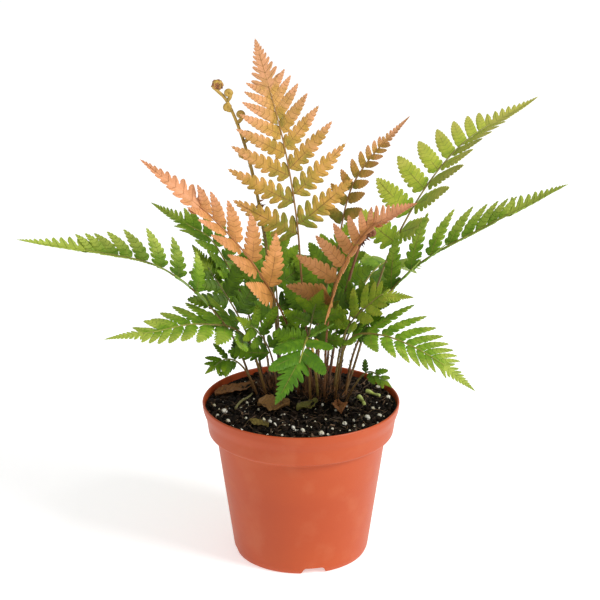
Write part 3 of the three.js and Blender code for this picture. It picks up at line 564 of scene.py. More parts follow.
class Blade:
    """The curved strip of the frame that one pinna or frond tip fills. bend is how far its end is
    carried off for its length, taper is how blunt it is, slant is how its foot leans along the
    stalk, and cup is how steeply its halves rise."""

    def __init__(self, start, out, up, length, width, bend=np.zeros(3), taper=1, slant=0.0, cup=0.0):
        self.start, self.out, self.up = start, out, up
        self.length, self.width, self.bend, self.taper = length, width, bend, taper
        self.across = unit(np.cross(out, up))
        self.slant, self.cup = slant, cup

    def at(self, share, side=0.0, lift=0.0):
        share, side, lift = (np.asarray(value, float)[..., None] for value in (share, side, lift))
        place = self.start + self.out * self.length * share
        return place + self.bend * self.length * share ** 2 + self.across * side + self.up * lift

    def half(self, share):
        return self.width / 2 * (1 - np.clip(share, 0, 1) ** self.taper)

    def fold(self, share, away):
        """How far the halves rise above the rib at a distance from it"""
        return self.cup * away * np.clip(away / np.maximum(self.half(share), 0.05), 0, 1)


@lru_cache(maxsize=None)
def pinna_faces(lobes):
    """Triangles of a pinna's sheet. Its points are the rib row, then each side's wing rows and
    free rows, then the tip."""
    row = LOBE_STEPS * lobes + 1
    wing = np.arange(WING_ROWS * row).reshape(WING_ROWS, row)
    free = np.arange(FREE_ROWS * lobes * (LOBE_STEPS + 1)).reshape(FREE_ROWS, lobes, LOBE_STEPS + 1)
    tip = row + 2 * (wing.size + free.size)
    faces = []
    for side in (0, 1):
        start = row + side * (wing.size + free.size)
        rows = np.vstack([np.arange(row), start + wing])
        parts = [strips(rows)]
        for lobe in range(lobes):
            first = LOBE_STEPS * lobe
            foot = rows[-1][first:first + LOBE_STEPS + 1]
            parts.append(strips([foot, *(start + wing.size + free[:, lobe])]))
        ends = rows[:, -1]
        parts.append(np.stack([ends[:-1], np.full(WING_ROWS, tip), ends[1:]], 1))
        faces += [part[:, ::-1] if side else part for part in parts]
    return np.concatenate(faces)


class Outline:
    """How a blade is cut into lobes. cut is how deep its lowest sinuses go, from 0 to 1 at the rib,
    sharp is how pointed its lowest lobes are, lean is how far they lean towards the tip, and the
    lobes shorten faster towards the tip with a higher crowd."""

    def __init__(self, blade, lobes, cut, sharp, lean=0.5, crowd=1.3):
        self.blade, self.lobes, self.cut, self.lean = blade, lobes, cut, lean
        borders = LOBED * (1 - (1 - np.arange(lobes + 1) / lobes) ** crowd)
        steps = np.arange(LOBE_STEPS * lobes + 1) / LOBE_STEPS
        self.rib = np.interp(steps, np.arange(lobes + 1), borders)
        self.vein = np.append(np.tile(abs(ACROSS[:-1]), lobes), 1)
        wing = np.clip(1 - cut * (1 - 0.75 * self.rib ** 0.9), WING_LEAST, WING_MOST)
        self.wing = wing * (1 - cut + cut * np.clip(0.3 + self.rib / FOOT, 0, 1))
        self.centre = (borders[1:] + borders[:-1]) / 2
        self.pitch = np.diff(borders) / 2
        self.point = np.clip(sharp + 0.7 * self.centre ** 2, 0, 1)
        self.far = blade.half(self.centre)
        self.near = self.far * np.interp(self.centre, self.rib, self.wing)

    def shift(self, share, side, away):
        """The lean towards the tip, which follows the stalk at the foot of a pinna that isn't cut"""
        held = (1 - self.cut) * np.exp(-share / FOOT)
        return (self.lean * (1 - held) + side * self.blade.slant * held) * away / self.blade.length

    def wing_row(self, side, line):
        """A row of points on the part next to the rib that stays whole"""
        blade, t = self.blade, line / WING_ROWS
        away = blade.half(self.rib) * self.wing * t
        pitch = np.interp(self.rib, self.centre, self.pitch) * blade.length
        furrow = QUILT * pitch * self.vein ** 2 * t
        lift = blade.fold(self.rib, away) - FALL * away ** 2 / blade.width - furrow
        share = self.rib + self.shift(self.rib, side, away)
        return share, side * away, lift, self.vein, away * 2 / blade.width

    def lobe_row(self, side, line, far, droop):
        """A row of points across all the lobes"""
        blade, t = self.blade, line / FREE_ROWS
        columns = (self.centre, self.pitch, self.point, self.near, far, droop)
        centre, pitch, point, near, far, droop = (column[:, None] for column in columns)
        away = near + (far - near) * (t - CORNER * ACROSS ** 2 * t ** 3)
        blunt = math.sqrt(1 - 0.76 * t ** 3)
        spread = blunt + (1 - 0.86 * t ** 1.2 - blunt) * point
        spread = spread * (0.96 - 0.12 * self.cut * (1 - centre))
        spread = spread + TOOTH * (-1) ** line * (abs(ACROSS) == 1) * (1 - point)
        share = centre + pitch * (ACROSS * spread + 0.8 * point * t ** 1.6)
        share = share + self.shift(centre, side, away)
        camber = (QUILT + ARCH * self.cut * t) * pitch * blade.length * ACROSS ** 2
        fall = away ** 2 / blade.width * (FALL + DROOP * t * droop)
        lift = blade.fold(centre, away) - camber - fall
        vein = np.broadcast_to(abs(ACROSS), away.shape)
        return tuple(part.ravel() for part in (share, side * away, lift, vein, away / far))


def pinna_sheet(outline, draw):
    """Points of a pinna and how far each is from a vein, from the rib and along the rib"""
    blade, rib = outline.blade, outline.rib
    rows = [(rib, 0 * rib, 0 * rib - RIB_SINK, outline.vein, 0 * rib)]
    for side in (-1, 1):
        rows += [outline.wing_row(side, line + 1) for line in range(WING_ROWS)]
        far = outline.far * (1 + 0.08 * (draw.random(outline.lobes) - 0.5))
        far = np.maximum(far, outline.near * 1.02 + 0.04)
        droop = 0.5 + draw.random(outline.lobes)
        rows += [outline.lobe_row(side, line + 1, far, droop) for line in range(FREE_ROWS)]
    rows.append(([1.0], [0.0], [0.0], [0.0], [1.0]))
    share, side, lift, vein, margin = (np.concatenate(column) for column in zip(*rows))
    sway = SWAY * blade.length * np.sin(6 * share + 6 * draw.random()) * share
    return blade.at(share, side, lift + sway), vein, margin, share


def add_pinna(skin, outline, place, young, draw):
    """One pinna or frond tip with its rib. place is its share along the frond, and young has the
    marks of its foot and its end."""
    blade = outline.blade
    points, vein, margin, share = pinna_sheet(outline, draw)
    pinna = young[0] + (young[1] - young[0]) * share
    add_sheet(skin, points, pinna_faces(outline.lobes), LEAF_HALF,
              frond=place, vein=vein, margin=margin, pinna=pinna, tone=draw.random())
    shares = np.linspace(-0.02, 0.9, RIB_STEPS)
    radii = (RIB_HALF + RIB_GROWTH * blade.length) * (1 - 0.8 * np.clip(shares, 0, 1))
    rib = blade.at(shares, 0, -RIB_SINK)
    add_tube(skin, rib, radii, 5, SECOND, frond=0.5 + 0.5 * place, pinna=shares)


# Fronds

def stalk_half(share):
    return (STALK + (STALK_TIP - STALK) * share) / 2


def pair_stations(frond):
    """For each pair of pinnae: what is left of the blade, where the pair starts, and its pitch"""
    blade = 1 - frond["bare"]
    for pair in range(frond["pairs"]):
        left = frond["tip"] ** (pair / frond["pairs"])
        pitch = left - frond["tip"] ** ((pair + 1) / frond["pairs"])
        yield left, 1 - blade * left, pitch * blade


def stalk_edge(frond, path, share, side, pitch):
    """A point on one edge of the stalk. The right one stands a little higher."""
    shift = SHIFT_SHARE * pitch if side > 0 else 0
    place, _, _, across = path.frame(frond["face"], share + shift)
    return place + across * side * stalk_half(share)


def pinna_start(frond, path, low, pitch, side):
    """Halfway along the stretch of the stalk's edge that carries a pinna"""
    shares = (low, low + BASE_SHARE * pitch)
    return sum(stalk_edge(frond, path, share, side, pitch) for share in shares) / 2


def pinna_blade(frond, path, station, side, bend):
    left, low, pitch = station
    tilt, size = bend
    middle = low + BASE_SHARE * pitch / 2 + (SHIFT_SHARE * pitch if side > 0 else 0)
    _, along, up, across = path.frame(frond["face"], middle)
    tip_angle, base_angle = frond["angles"]
    angle = math.radians(tip_angle + (base_angle - tip_angle) * left)
    out = along * math.cos(angle) + across * side * math.sin(angle)
    turn = -side * (frond["fold"] + tilt)
    length = frond["reach"] * min(1, frond["swell"] * left) * size
    return Blade(
        start=pinna_start(frond, path, low, pitch, side),
        out=turned(out, along, turn), up=turned(up, along, turn), length=length,
        width=frond["wide"] * min(pitch * path.length * math.sin(angle), WIDTH_TO_LENGTH * length),
        bend=frond["sweep"] * along + np.array(SAG), taper=frond["taper"] + 0.8 * (1 - left),
        slant=-side / max(math.tan(angle), 0.8))


def tip_blade(frond, path, station):
    _, low, pitch = station
    share = low + BASE_SHARE * pitch
    start = sum(stalk_edge(frond, path, share, side, pitch) for side in (-1, 1)) / 2
    out = path.at(1)[0] - start
    length = float(np.linalg.norm(out))
    _, _, up, _ = path.frame(frond["face"], 0.95)
    width = min(TIP_WIDTH * frond["reach"] * frond["swell"] * frond["tip"], TIP_SLIMNESS * length)
    return Blade(start, out / length, up, length, width, cup=math.tan(math.radians(frond["fold"])))


def solid_points(node):
    """The corners of a node of the frame, in millimetres"""
    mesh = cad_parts[node].data
    points = np.zeros(len(mesh.vertices) * 3)
    mesh.vertices.foreach_get("co", points)
    return points.reshape(-1, 3) / MM


def fitted_blade(frond, path, station, side, corners):
    """The pinna as the frame bent it clear of its neighbours, or None where it was left out"""
    blades = [pinna_blade(frond, path, station, side, bend) for bend in BENDS]
    tips = np.array([blade.at(1.0) for blade in blades])
    away = np.linalg.norm(tips[:, None] - corners[None], axis=2).min(axis=1)
    best = int(away.argmin())
    return blades[best] if away[best] < NEAR_TIP else None


def side_outline(frond, blade, left):
    start, span = CUT_FADE
    cut = frond["cut"] * np.clip((left - start) / span, CUT_LEAST, 1)
    lobes = round(LOBE_BASE + (LOBES_PER_MM - LOBES_LOST * cut) * blade.length)
    return Outline(blade, int(np.clip(lobes, *SIDE_LOBES)), cut, SHARP_LOBES * (1 - left))


def tip_outline(blade):
    total, extra = TIP_LOBE_RULE
    lobes = round(total / (blade.width + extra))
    return Outline(blade, int(np.clip(lobes, *TIP_LOBES)), **TIP_EDGE)


def add_scales(skin, path, radius, reach, count, draw):
    """Papery scales that stand off the lower stalk"""
    shares = reach * draw.random(count) ** 1.7 + 0.01
    centres, along = path.at(shares), path.heading(shares)
    out = unit(np.cross(along, draw.normal(size=(count, 3))))
    roots = centres + out * radius * 0.8
    lengths = drawn(draw, SCALE_LENGTH, count) * (1 - 0.5 * shares / reach)
    lean = along * 0.9 + out * 0.5 + 0.3 * draw.normal(size=(count, 3))
    widths = drawn(draw, SCALE_WIDTH, count)
    add_spikes(skin, roots, roots + lean * lengths[:, None], out, widths, draw, THIRD)


def make_frond(frond, draw):
    path = Path(frond["through"])
    corners = solid_points(frond["name"])
    skin = Skin()
    fresh = frond["fresh"]
    stations = list(pair_stations(frond))
    for station in stations:
        left = station[0]
        for side in (-1, 1):
            blade = fitted_blade(frond, path, station, side, corners)
            if blade is not None:
                outline = side_outline(frond, blade, left)
                add_pinna(skin, outline, fresh * (1 - left), (0, fresh), draw)
    tip = tip_outline(tip_blade(frond, path, stations[-1]))
    add_pinna(skin, tip, fresh * (1 - frond["tip"]), (0.5 * fresh, fresh), draw)
    shares = np.linspace(0, 1 - (1 - frond["bare"]) * frond["tip"], STALK_STEPS)
    add_tube(skin, path.at(shares), stalk_half(shares) * 1.02, 8, SECOND, frond=shares)
    add_scales(skin, path, STALK / 2, SCALE_REACH, STALK_SCALES, draw)
    look = frond["look"]
    skin.make("leafy", frond["name"], look + "_frond", [LEAVES[look], STEMS[look], SCALES])


# Coiled new fronds

def spiral(end, along, coil, curl):
    """The coil that a stem rolls into, from its outside inwards, in the plane that faces the front"""
    heading = math.atan2(along[2], along[0])
    centre = end + coil * curl * np.array((-math.sin(heading), 0, math.cos(heading)))
    share = np.linspace(0, COIL_TURNS, COIL_STEPS)[1:]
    angle = heading + curl * math.pi * (1.55 * share - 0.5)
    radius = coil * (1 - 0.35 * share)
    return centre + np.stack([radius * np.cos(angle), 0 * angle, radius * np.sin(angle)], 1)


def add_coil(skin, stem, thickness, coil, curl, place):
    """A stem and the coil at its end, and what the coil's points and half widths are"""
    rolled = spiral(stem[-1], stem[-1] - stem[-2], coil, curl)
    fall = thickness[-1] * np.linspace(1.35, 0.6, len(rolled))
    radii = np.concatenate([thickness, fall])
    along = np.concatenate([np.linspace(*place, len(stem)), np.full(len(rolled), place[1])])
    add_tube(skin, np.vstack([stem, rolled]), radii, 10, frond=along)
    return rolled, fall


def add_beads(skin, rolled, thickness, draw):
    """The leaflets of a coil, still rolled up, on both sides of it"""
    beads = np.tile(rolled, (2, 1))
    angles = 2 * math.pi * draw.random(len(beads))
    out = unit(beads - rolled[-1] + 1e-6) * np.cos(angles)[:, None]
    out = out + np.outer(np.sin(angles), (0, 1, 0))
    size = np.tile(thickness, 2)[:, None]
    sizes = size * drawn(draw, BEAD_SIDES, len(beads), 3)
    add_lumps(skin, beads + 0.8 * size * out, sizes, draw, level=2, rough=0.12, slot=SECOND)


def add_hook(skin, path, hook):
    """A side leaflet that is still curled up"""
    share, side, length = hook
    along = path.heading(share)[0]
    out = unit(np.array((along[2] * side, -0.2, -along[0] * side)))
    base = path.at(share)[0] - 0.8 * out
    end = base + 0.7 * length * out + 0.4 * length * along
    middle = (base + end) / 2 - 0.08 * length * along
    t = np.linspace(0, 1, 9)[:, None]
    stem = (1 - t) * (1 - 2 * t) * base + 4 * t * (1 - t) * middle + t * (2 * t - 1) * end
    swell = HOOK_STALK * (0.65 + 0.5 * np.sin(math.pi * (0.15 + 0.6 * t[:, 0])))
    add_coil(skin, stem, swell, HOOK_COIL, side, (0.6, 1))


def add_tuft(skin, path, share, draw):
    """Withered leaflets that cling to the stalk"""
    roots = path.at(share + 0.012 * draw.normal(size=TUFT))
    out = unit(draw.normal(size=(TUFT, 3)) + (0.3, -0.6, -0.4))
    tips = roots + out * drawn(draw, TUFT_LENGTH, TUFT, 1)
    widths = drawn(draw, TUFT_WIDTH, TUFT)
    add_spikes(skin, roots, tips, np.cross(out, (0, 0, 1)), widths, draw, SECOND)


def make_crozier(crozier, draw):
    path = Path(crozier["through"])
    skin = Skin()
    shares = np.linspace(0, 1, CROZIER_STEPS)
    wave = 1 + 0.06 * np.sin(shares * 37) * np.sin(shares * 11)
    radii = crozier["stalk"] * wave * (1 - 0.12 * shares)
    coil = add_coil(skin, path.at(shares), radii, crozier["coil"], crozier["curl"], (0, 1))
    add_beads(skin, *coil, draw)
    for hook in crozier["hooks"]:
        add_hook(skin, path, hook)
    if crozier["tuft"]:
        add_tuft(skin, path, crozier["tuft"], draw)
    add_scales(skin, path, crozier["stalk"], 0.97, CROZIER_SCALES, draw)
    if crozier["name"] == "bud_withered":
        slot, materials = "dead_leaf", [STEMS["bud"], ROLLED_BROWN, SCALES]
    else:
        slot, materials = "new_shoot", [STEMS["crozier"], ROLLED, SCALES]
    skin.make("coiled", crozier["name"], slot, materials)


# Litter on the soil

def soil_height(x, y):
    z = SOIL_LEVEL + SOIL_WAVE * np.sin(x / 9 + 1) * np.cos(y / 10)
    for crown in CROWNS:
        away = np.hypot((x - crown["x"]) / crown["radius_x"], (y - crown["y"]) / crown["radius_y"])
        z = z + MOUND * np.exp(-0.45 * away ** 2)
    return z


def laid(item, share, side, lift):
    """Places on a fallen thing that follows the soil, with side in millimetres off its middle line"""
    turn = math.radians(item["turn"])
    u = (share - 0.5) * item["length"]
    x = item["x"] + u * math.cos(turn) - side * math.sin(turn)
    y = item["y"] + u * math.sin(turn) + side * math.cos(turn)
    return np.stack([x, y, soil_height(x, y) + 1 + lift], -1)


def curled(item, share):
    """The share of its curl by which a fallen thing stands off the soil"""
    return np.sin(4 * share + item["x"]) ** 2


def make_litter(leaf, draw):
    steps = np.linspace(0, 1, LITTER_STEPS), np.linspace(-1, 1, LITTER_COLUMNS)
    share, side = np.meshgrid(*steps, indexing="ij")
    half = leaf["width"] / 2 * (0.12 + 0.88 * np.sin(math.pi * share) ** 0.75)
    lobes = 1 + 0.1 * np.sin(34 * share + 2 * np.sign(side)) * abs(side) ** 3
    away = side * half * lobes * (1 + 0.15 * np.sin(5 * share + side))
    curl = leaf["curl"] * (1.4 * side ** 2 + curled(leaf, share))
    wrinkle = 0.4 * np.sin(19 * share + 3 * side + LITTER.index(leaf)) * np.sin(5 * side + 7 * share)
    sheet = laid(leaf, share, away, curl + (wrinkle + 0.5 * abs(side))).reshape(-1, 3)
    faces = strips(np.arange(share.size).reshape(share.shape))
    skin = Skin()
    add_sheet(skin, sheet, faces[:, ::-1], LITTER_HALF, pinna=share.ravel(), margin=abs(side).ravel(),
              tone=leaf["tone"])
    along = np.linspace(0.02, 0.97, 14)
    rib = laid(leaf, along, 0 * along, leaf["curl"] * curled(leaf, along) + 0.15)
    add_tube(skin, rib, 0.34 - 0.2 * along, 6, SECOND, frond=0.1, tone=draw.random())
    skin.make("dry", leaf["name"], "dead_leaf", [DEAD_LEAF, STEMS["dark"]])


def make_stick(stick):
    """A twig with a knot, or the stub of a young stalk, lying on the soil"""
    share = np.linspace(0, 1, STICK_STEPS)
    thick = stick["width"] / 2
    if stick["name"] == "twig":
        radii = thick * (1.05 - 0.35 * share + 0.25 * np.exp(-(24 * (share - 0.45)) ** 2))
        bow, look = 1.2 * np.sin(4.2 * share), TWIG
    else:
        radii = thick * (0.55 + 0.4 * (1 - share) ** 2 + 0.12 * np.sin(9 * share))
        bow, look = 0.6 * np.sin(3 * share), STUB
    skin = Skin()
    line = laid(stick, share, bow, stick["curl"] * curled(stick, share) + thick * 0.4)
    add_tube(skin, line, radii, 12, frond=share)
    skin.make("fallen", stick["name"], "pale_twig", [look])


# Crowns: scaly mounds that the stalks grow from

def crown_rings(crown, draw):
    """Points of a crown's skin, ring by ring from its foot to its top"""
    along = np.linspace(0, 1, len(CROWN_PROFILE))
    steps = np.linspace(0.06, 0.97, CROWN_RINGS)
    radius, rise = (np.interp(steps, along, column)[:, None] for column in zip(*CROWN_PROFILE))
    angles = np.arange(CROWN_SIDES) * 2 * math.pi / CROWN_SIDES
    bump = 1 - 0.05 * (1 + np.cos(5 * angles)) * rise
    lumps = 1 + 0.06 * np.sin(11 * angles + 9 * rise) * np.sin(3 * angles + 6 * draw.random())
    x = crown["x"] + crown["radius_x"] * radius * bump * lumps * np.cos(angles)
    y = crown["y"] + crown["radius_y"] * radius * bump * lumps * np.sin(angles)
    z = CROWN_FOOT + (crown["top"] - CROWN_FOOT) * (rise + 0 * angles)
    return np.stack([x, y, z], 2)


def make_crown(crown, draw):
    rings = crown_rings(crown, draw)
    skin = Skin()
    add_rings(skin, rings)
    upper = rings[CROWN_RINGS // 2:].reshape(-1, 3)
    roots = upper[draw.integers(0, len(upper), CROWN_SCALES)]
    out = unit(roots - np.array((crown["x"], crown["y"], CROWN_FOOT + 6)))
    lengths = drawn(draw, CROWN_SCALE_LENGTH, CROWN_SCALES)
    lean = unit(out + (0, 0, 0.5) + 0.6 * draw.normal(size=out.shape))
    widths = drawn(draw, CROWN_SCALE_WIDTH, CROWN_SCALES)
    add_spikes(skin, roots - 0.3 * out, roots + lean * lengths[:, None], out, widths, draw, SECOND)
    skin.make("scaly", crown["name"], "rhizome", [RHIZOME, SCALES])


# Soil: peat with crumbs, fibres, bark chips and perlite

def on_soil(draw, count, reach=SOIL_EDGE - 1):
    """Random places on the soil"""
    radius = reach * np.sqrt(draw.random(count))
    angle = 2 * math.pi * draw.random(count)
    x, y = radius * np.cos(angle), radius * np.sin(angle)
    return np.stack([x, y, soil_height(x, y)], 1)


def soil_body():
    """Rings of the root ball: the pot's inner shape below, then its uneven top"""
    under = len(SOIL_UNDER)
    radii, heights = zip(*SOIL_UNDER)
    radii = [*radii, *np.linspace(SOIL_EDGE, 0.8, SOIL_RINGS)]
    x, y = (np.outer(radii, turn) for turn in around(SOIL_SIDES))
    top = x[under:], y[under:]
    crumble = np.array([noise.fractal(Vector((a / 2.6, b / 2.6, 0)), 0.8, 2.2, 4)
                        for a, b in zip(top[0].ravel(), top[1].ravel())]).reshape(top[0].shape)
    fade = np.clip((SOIL_EDGE - np.hypot(*top)) / 1.5, 0, 1)
    low = np.array(heights)[:, None] + 0 * x[:under]
    return np.stack([x, y, np.vstack([low, soil_height(*top) + (1.5 * crumble - 0.4) * fade])], 2)


def add_crumbs(skin, draw):
    places = on_soil(draw, CRUMBS)
    sizes = drawn(draw, CRUMB_HALF, CRUMBS, 1, power=3) * drawn(draw, CRUMB_SIDES, CRUMBS, 3)
    lift = sizes.min(axis=1) * drawn(draw, CRUMB_LIFT, CRUMBS)
    add_lumps(skin, places + lift[:, None] * (0, 0, 1), sizes, draw, level=1, rough=0.16)


def add_chips(skin, draw):
    """Flat flakes of bark and dead leaf"""
    places = on_soil(draw, BARK_CHIPS) + (0, 0, 0.6)
    sizes = np.array(CHIP_HALVES) * drawn(draw, CHIP_SIDES, BARK_CHIPS, 3)
    add_lumps(skin, places, sizes, draw, level=2, rough=0.14, slot=SECOND)


def add_fibres(skin, draw):
    """Fine roots and peat fibres"""
    t = np.linspace(-1, 1, 6)[:, None]
    for place in on_soil(draw, FIBRES):
        angle = 2 * math.pi * draw.random()
        run = np.array((math.cos(angle), math.sin(angle), 0.35 * draw.normal()))
        bow = np.array((-run[1], run[0], 0.8 * draw.random())) * draw.normal()
        half = drawn(draw, FIBRE_HALF, power=2)
        line = place + (0, 0, 0.7) + half * (run * t + 0.5 * bow * (1 - t ** 2))
        line[:, 2] = np.maximum(line[:, 2], soil_height(line[:, 0], line[:, 1]))
        if (np.hypot(line[:, 0], line[:, 1]) < SOIL_EDGE - 0.5).all():
            radii = np.full(len(line), drawn(draw, FIBRE_RADIUS))
            add_tube(skin, line, radii, 4, SECOND, tone=draw.random())


def add_perlite(skin, draw):
    """White grains, first the ones that show most, then finer ones anywhere"""
    x, y, size = np.array(PERLITE_SPOTS).T
    shown = np.stack([x, y, soil_height(x, y) + 0.55 * size], 1)
    places = np.vstack([shown, on_soil(draw, FINE_PERLITE, SOIL_EDGE - 2) + (0, 0, 0.5)])
    halves = np.append(0.9 * size, drawn(draw, GRAIN_HALF, FINE_PERLITE, power=2))[:, None]
    sizes = halves * drawn(draw, GRAIN_SIDES, len(halves), 3)
    add_lumps(skin, places, sizes, draw, level=3, rough=0.12, slot=THIRD)


def make_soil(draw):
    skin = Skin()
    # The root ball's top has no tone, so it takes the darkest peat: painted shade between the crumbs,
    # over the peat's own dark colour.
    add_rings(skin, soil_body())
    for add in (add_crumbs, add_chips, add_fibres, add_perlite):
        add(skin, draw)
    skin.make("peat", "soil", "peat", [PEAT, CHIPS, PERLITE])


# Pot: one moulding, turned, with notches in its foot and drains in its floor

def eased(corners, reach, steps=4):
    """A line through corners, each rounded over the given reach, with a point just past each curve"""
    corners = np.asarray(corners, float)
    line = [corners[0]]
    for before, corner, after in zip(corners[:-2], corners[1:-1], corners[2:]):
        back, on = before - corner, after - corner
        room = min(reach, 0.4 * np.linalg.norm(back), 0.4 * np.linalg.norm(on))
        start, end = corner + unit(back) * room, corner + unit(on) * room
        line.append(corner + unit(back) * room * 1.2)
        for t in np.linspace(0, 1, steps):
            line.append(start * (1 - t) ** 2 + corner * 2 * t * (1 - t) + end * t ** 2)
        line.append(corner + unit(on) * room * 1.2)
    return np.array([*line, corners[-1]])


def lathed(profile, sides):
    """Rings of a turned shape"""
    cosines, sines = around(sides)
    radius, height = profile[:, :1], profile[:, 1:]
    return np.stack([radius * cosines, radius * sines, height + 0 * cosines], 2)


def prism(outline, low, high, angle):
    """Rings of a bar along +X from low to high, with an outline across it, turned about Z"""
    cosine, sine = math.cos(angle), math.sin(angle)
    y, z = np.array(outline).T
    return [np.stack([x * cosine - y * sine, x * sine + y * cosine, z], 1) for x in (low, high)]


def pot_cutters():
    skin = Skin()
    notch = eased(NOTCH_SHAPE, NOTCH_EASE, 6)
    long, wide, high = DRAIN_SIZE
    radius, level = DRAIN_PLACE
    box = [(wide / 2 * a, level + high / 2 * b) for a, b in ((-1, -1), (1, -1), (1, 1), (-1, 1))]
    for quarter in range(4):
        angle = quarter * math.pi / 2
        turn = angle + math.radians(NOTCH_START_DEG)
        add_rings(skin, prism(notch[::-1], *NOTCH_REACH, turn))
        add_rings(skin, prism(box, radius - long / 2, radius + long / 2, angle))
    return skin.mesh("pot_cutters")


def make_pot():
    skin = Skin()
    add_rings(skin, lathed(eased(POT_PROFILE, POT_EASE), POT_SIDES))
    pot = placed("uncut_pot", skin.mesh("uncut_pot"))
    cutters = placed("pot_cutters", pot_cutters())
    cut = pot.modifiers.new("cut", "BOOLEAN")
    cut.operation, cut.object, cut.solver = "DIFFERENCE", cutters, "EXACT"
    mesh = bpy.data.meshes.new_from_object(pot.evaluated_get(bpy.context.evaluated_depsgraph_get()))
    for item in (pot, cutters):
        bpy.data.objects.remove(item)
    settle("moulded_pot", mesh, "pot", [POT_PLASTIC])


# Materials

def colour(code):
    """Linear colour of an sRGB code such as 0xc8643c"""
    parts = [(code >> shift & 255) / 255 for shift in (16, 8, 0)]
    return (*(part / 12.92 if part < 0.04045 else ((part + 0.055) / 1.055) ** 2.4 for part in parts), 1)


class Look:
    """A material put together from nodes"""

    def __init__(self, name, **settings):
        self.material = bpy.data.materials.new(name)
        self.material.use_nodes = True
        self.nodes = self.material.node_tree.nodes
        self.links = self.material.node_tree.links
        self.shader = self.nodes["Principled BSDF"]
        for socket, value in settings.items():
            self.feed(self.shader.inputs[socket.replace("_", " ")], value)

    def feed(self, socket, value):
        if isinstance(value, bpy.types.NodeSocket):
            self.links.new(value, socket)
        else:
            socket.default_value = value

    def add(self, kind, inputs=(), **settings):
        """The outputs of a new node, with its inputs by name or number"""
        node = self.nodes.new("ShaderNode" + kind)
        for name, value in settings.items():
            setattr(node, name, value)
        for socket, value in dict(inputs).items():
            self.feed(node.inputs[socket], value)
        return node.outputs

    def mark(self, name):
        """A mark of the mesh, made by Skin"""
        return self.add("Attribute", attribute_name=name)["Fac"]

    def noise(self, scale, detail=3, stretch=(1, 1, 1)):
        """Noise with about that many lumps in a metre, from 0 to 1"""
        place = self.add("TexCoord")["Object"]
        place = self.add("Mapping", {"Vector": place, "Scale": stretch})["Vector"]
        lumps = self.add("TexNoise", {"Vector": place, "Scale": scale, "Detail": detail})["Fac"]
        return self.band(lumps, 0.3, 0.7)

    def math(self, kind, *values):
        return self.add("Math", enumerate(values), operation=kind)[0]

    def sum(self, *parts):
        """The parts, each a value and its weight, added up"""
        total = 0.0
        for value, weight in parts:
            total = self.math("MULTIPLY_ADD", value, weight, total)
        return total

    def band(self, value, low, high, start=0.0, end=1.0):
        """start below low, end above high, and a straight change between"""
        return self.add("MapRange", enumerate((value, low, high, start, end)))["Result"]

    def veins(self, low, *parts):
        """Lines where the parts add up to whole numbers, finer with a low nearer to 0.5"""
        slanted = self.math("FRACT", self.sum(*parts))
        return self.band(self.math("ABSOLUTE", self.math("SUBTRACT", slanted, 0.5)), low, 0.5)

    def ramp(self, value, *stops):
        """Colours at places from 0 to 1"""
        node = self.nodes.new("ShaderNodeValToRGB")
        elements = node.color_ramp.elements
        while len(elements) < len(stops):
            elements.new(0.5)
        for element, (place, code) in zip(elements, stops):
            element.position = place
            element.color = colour(code)
        self.feed(node.inputs["Fac"], value)
        return node.outputs["Color"]

    def mix(self, share, low, high, kind="MIX"):
        return self.add("Mix", {0: share, 6: low, 7: high}, data_type="RGBA", blend_type=kind)[2]

    def over(self, base, share, most, code):
        """A colour with another laid over it, by share times most"""
        return self.mix(self.math("MULTIPLY", share, most), base, colour(code))

    def shade(self, base, value, low, high):
        """A colour made darker or lighter, by low where value is 0 and by high where it is 1"""
        return self.mix(1.0, base, self.band(value, 0, 1, low, high), "MULTIPLY")

    def bump(self, height, depth):
        """Relief, with its depth in millimetres"""
        normal = self.add("Bump", {"Distance": depth * MM, "Height": height})["Normal"]
        self.feed(self.shader.inputs["Normal"], normal)

    def done(self, base, roughness):
        self.feed(self.shader.inputs["Base Color"], base)
        self.feed(self.shader.inputs["Roughness"], roughness)
        return self.material


def leaf_look(name, inner, middle, outer, vein, under):
    """Colours from the old inner leaf to its young tips, then its veins and its under side"""
    look = Look(name + "_leaf", Specular_IOR_Level=0.25)
    patches, grain = look.noise(140), look.noise(1500)
    young = look.sum((look.mark("frond"), 0.5), (look.mark("pinna"), 0.5), (patches, 0.3))
    base = look.ramp(young, (0.12, inner), (0.5, middle), (0.85, outer))
    beside, out = look.mark("vein"), look.mark("margin")
    fine = look.veins(0.36, (out, 5.0), (beside, -1.6))
    main = look.band(beside, 0.18, 0.02)
    base = look.over(base, fine, 0.14, vein)
    base = look.over(base, main, 0.45, vein)
    base = look.over(base, look.mark("under"), 0.6, under)
    base = look.shade(base, look.mark("tone"), 0.88, 1.12)
    base = look.shade(base, look.sum((patches, 0.6), (grain, 0.4)), 0.8, 1.16)
    look.bump(look.sum((main, -1.0), (fine, -0.15), (patches, 0.6), (grain, 0.25)), 0.2)
    return look.done(base, look.band(grain, 0, 1, 0.44, 0.58))


def stem_look(name, base, middle, tip):
    """Colours from the foot of a stalk to its tip, with streaks along it"""
    look = Look(name + "_stem")
    streaks = look.noise(500, stretch=(1, 1, 0.15))
    along = look.sum((look.mark("frond"), 1.0), (streaks, 0.12))
    tint = look.ramp(along, (0.05, base), (0.55, middle), (1.0, tip))
    look.bump(streaks, 0.12)
    return look.done(look.shade(tint, streaks, 0.82, 1.12), look.band(streaks, 0, 1, 0.42, 0.6))


def plain_look(name, dark, light, scale, rough, depth, **settings):
    """Two tones mottled by noise and by the mark of each lump, grain or scale"""
    look = Look(name, **settings)
    mottle, grain = look.noise(scale), look.noise(scale * 6)
    tint = look.ramp(look.sum((mottle, 0.45), (look.mark("tone"), 0.55)), (0.1, dark), (0.9, light))
    look.bump(look.sum((mottle, 0.6), (grain, 0.4)), depth)
    tint = look.shade(tint, grain, 0.8, 1.15)
    return look.done(tint, look.band(grain, 0, 1, rough - 0.08, rough + 0.08))


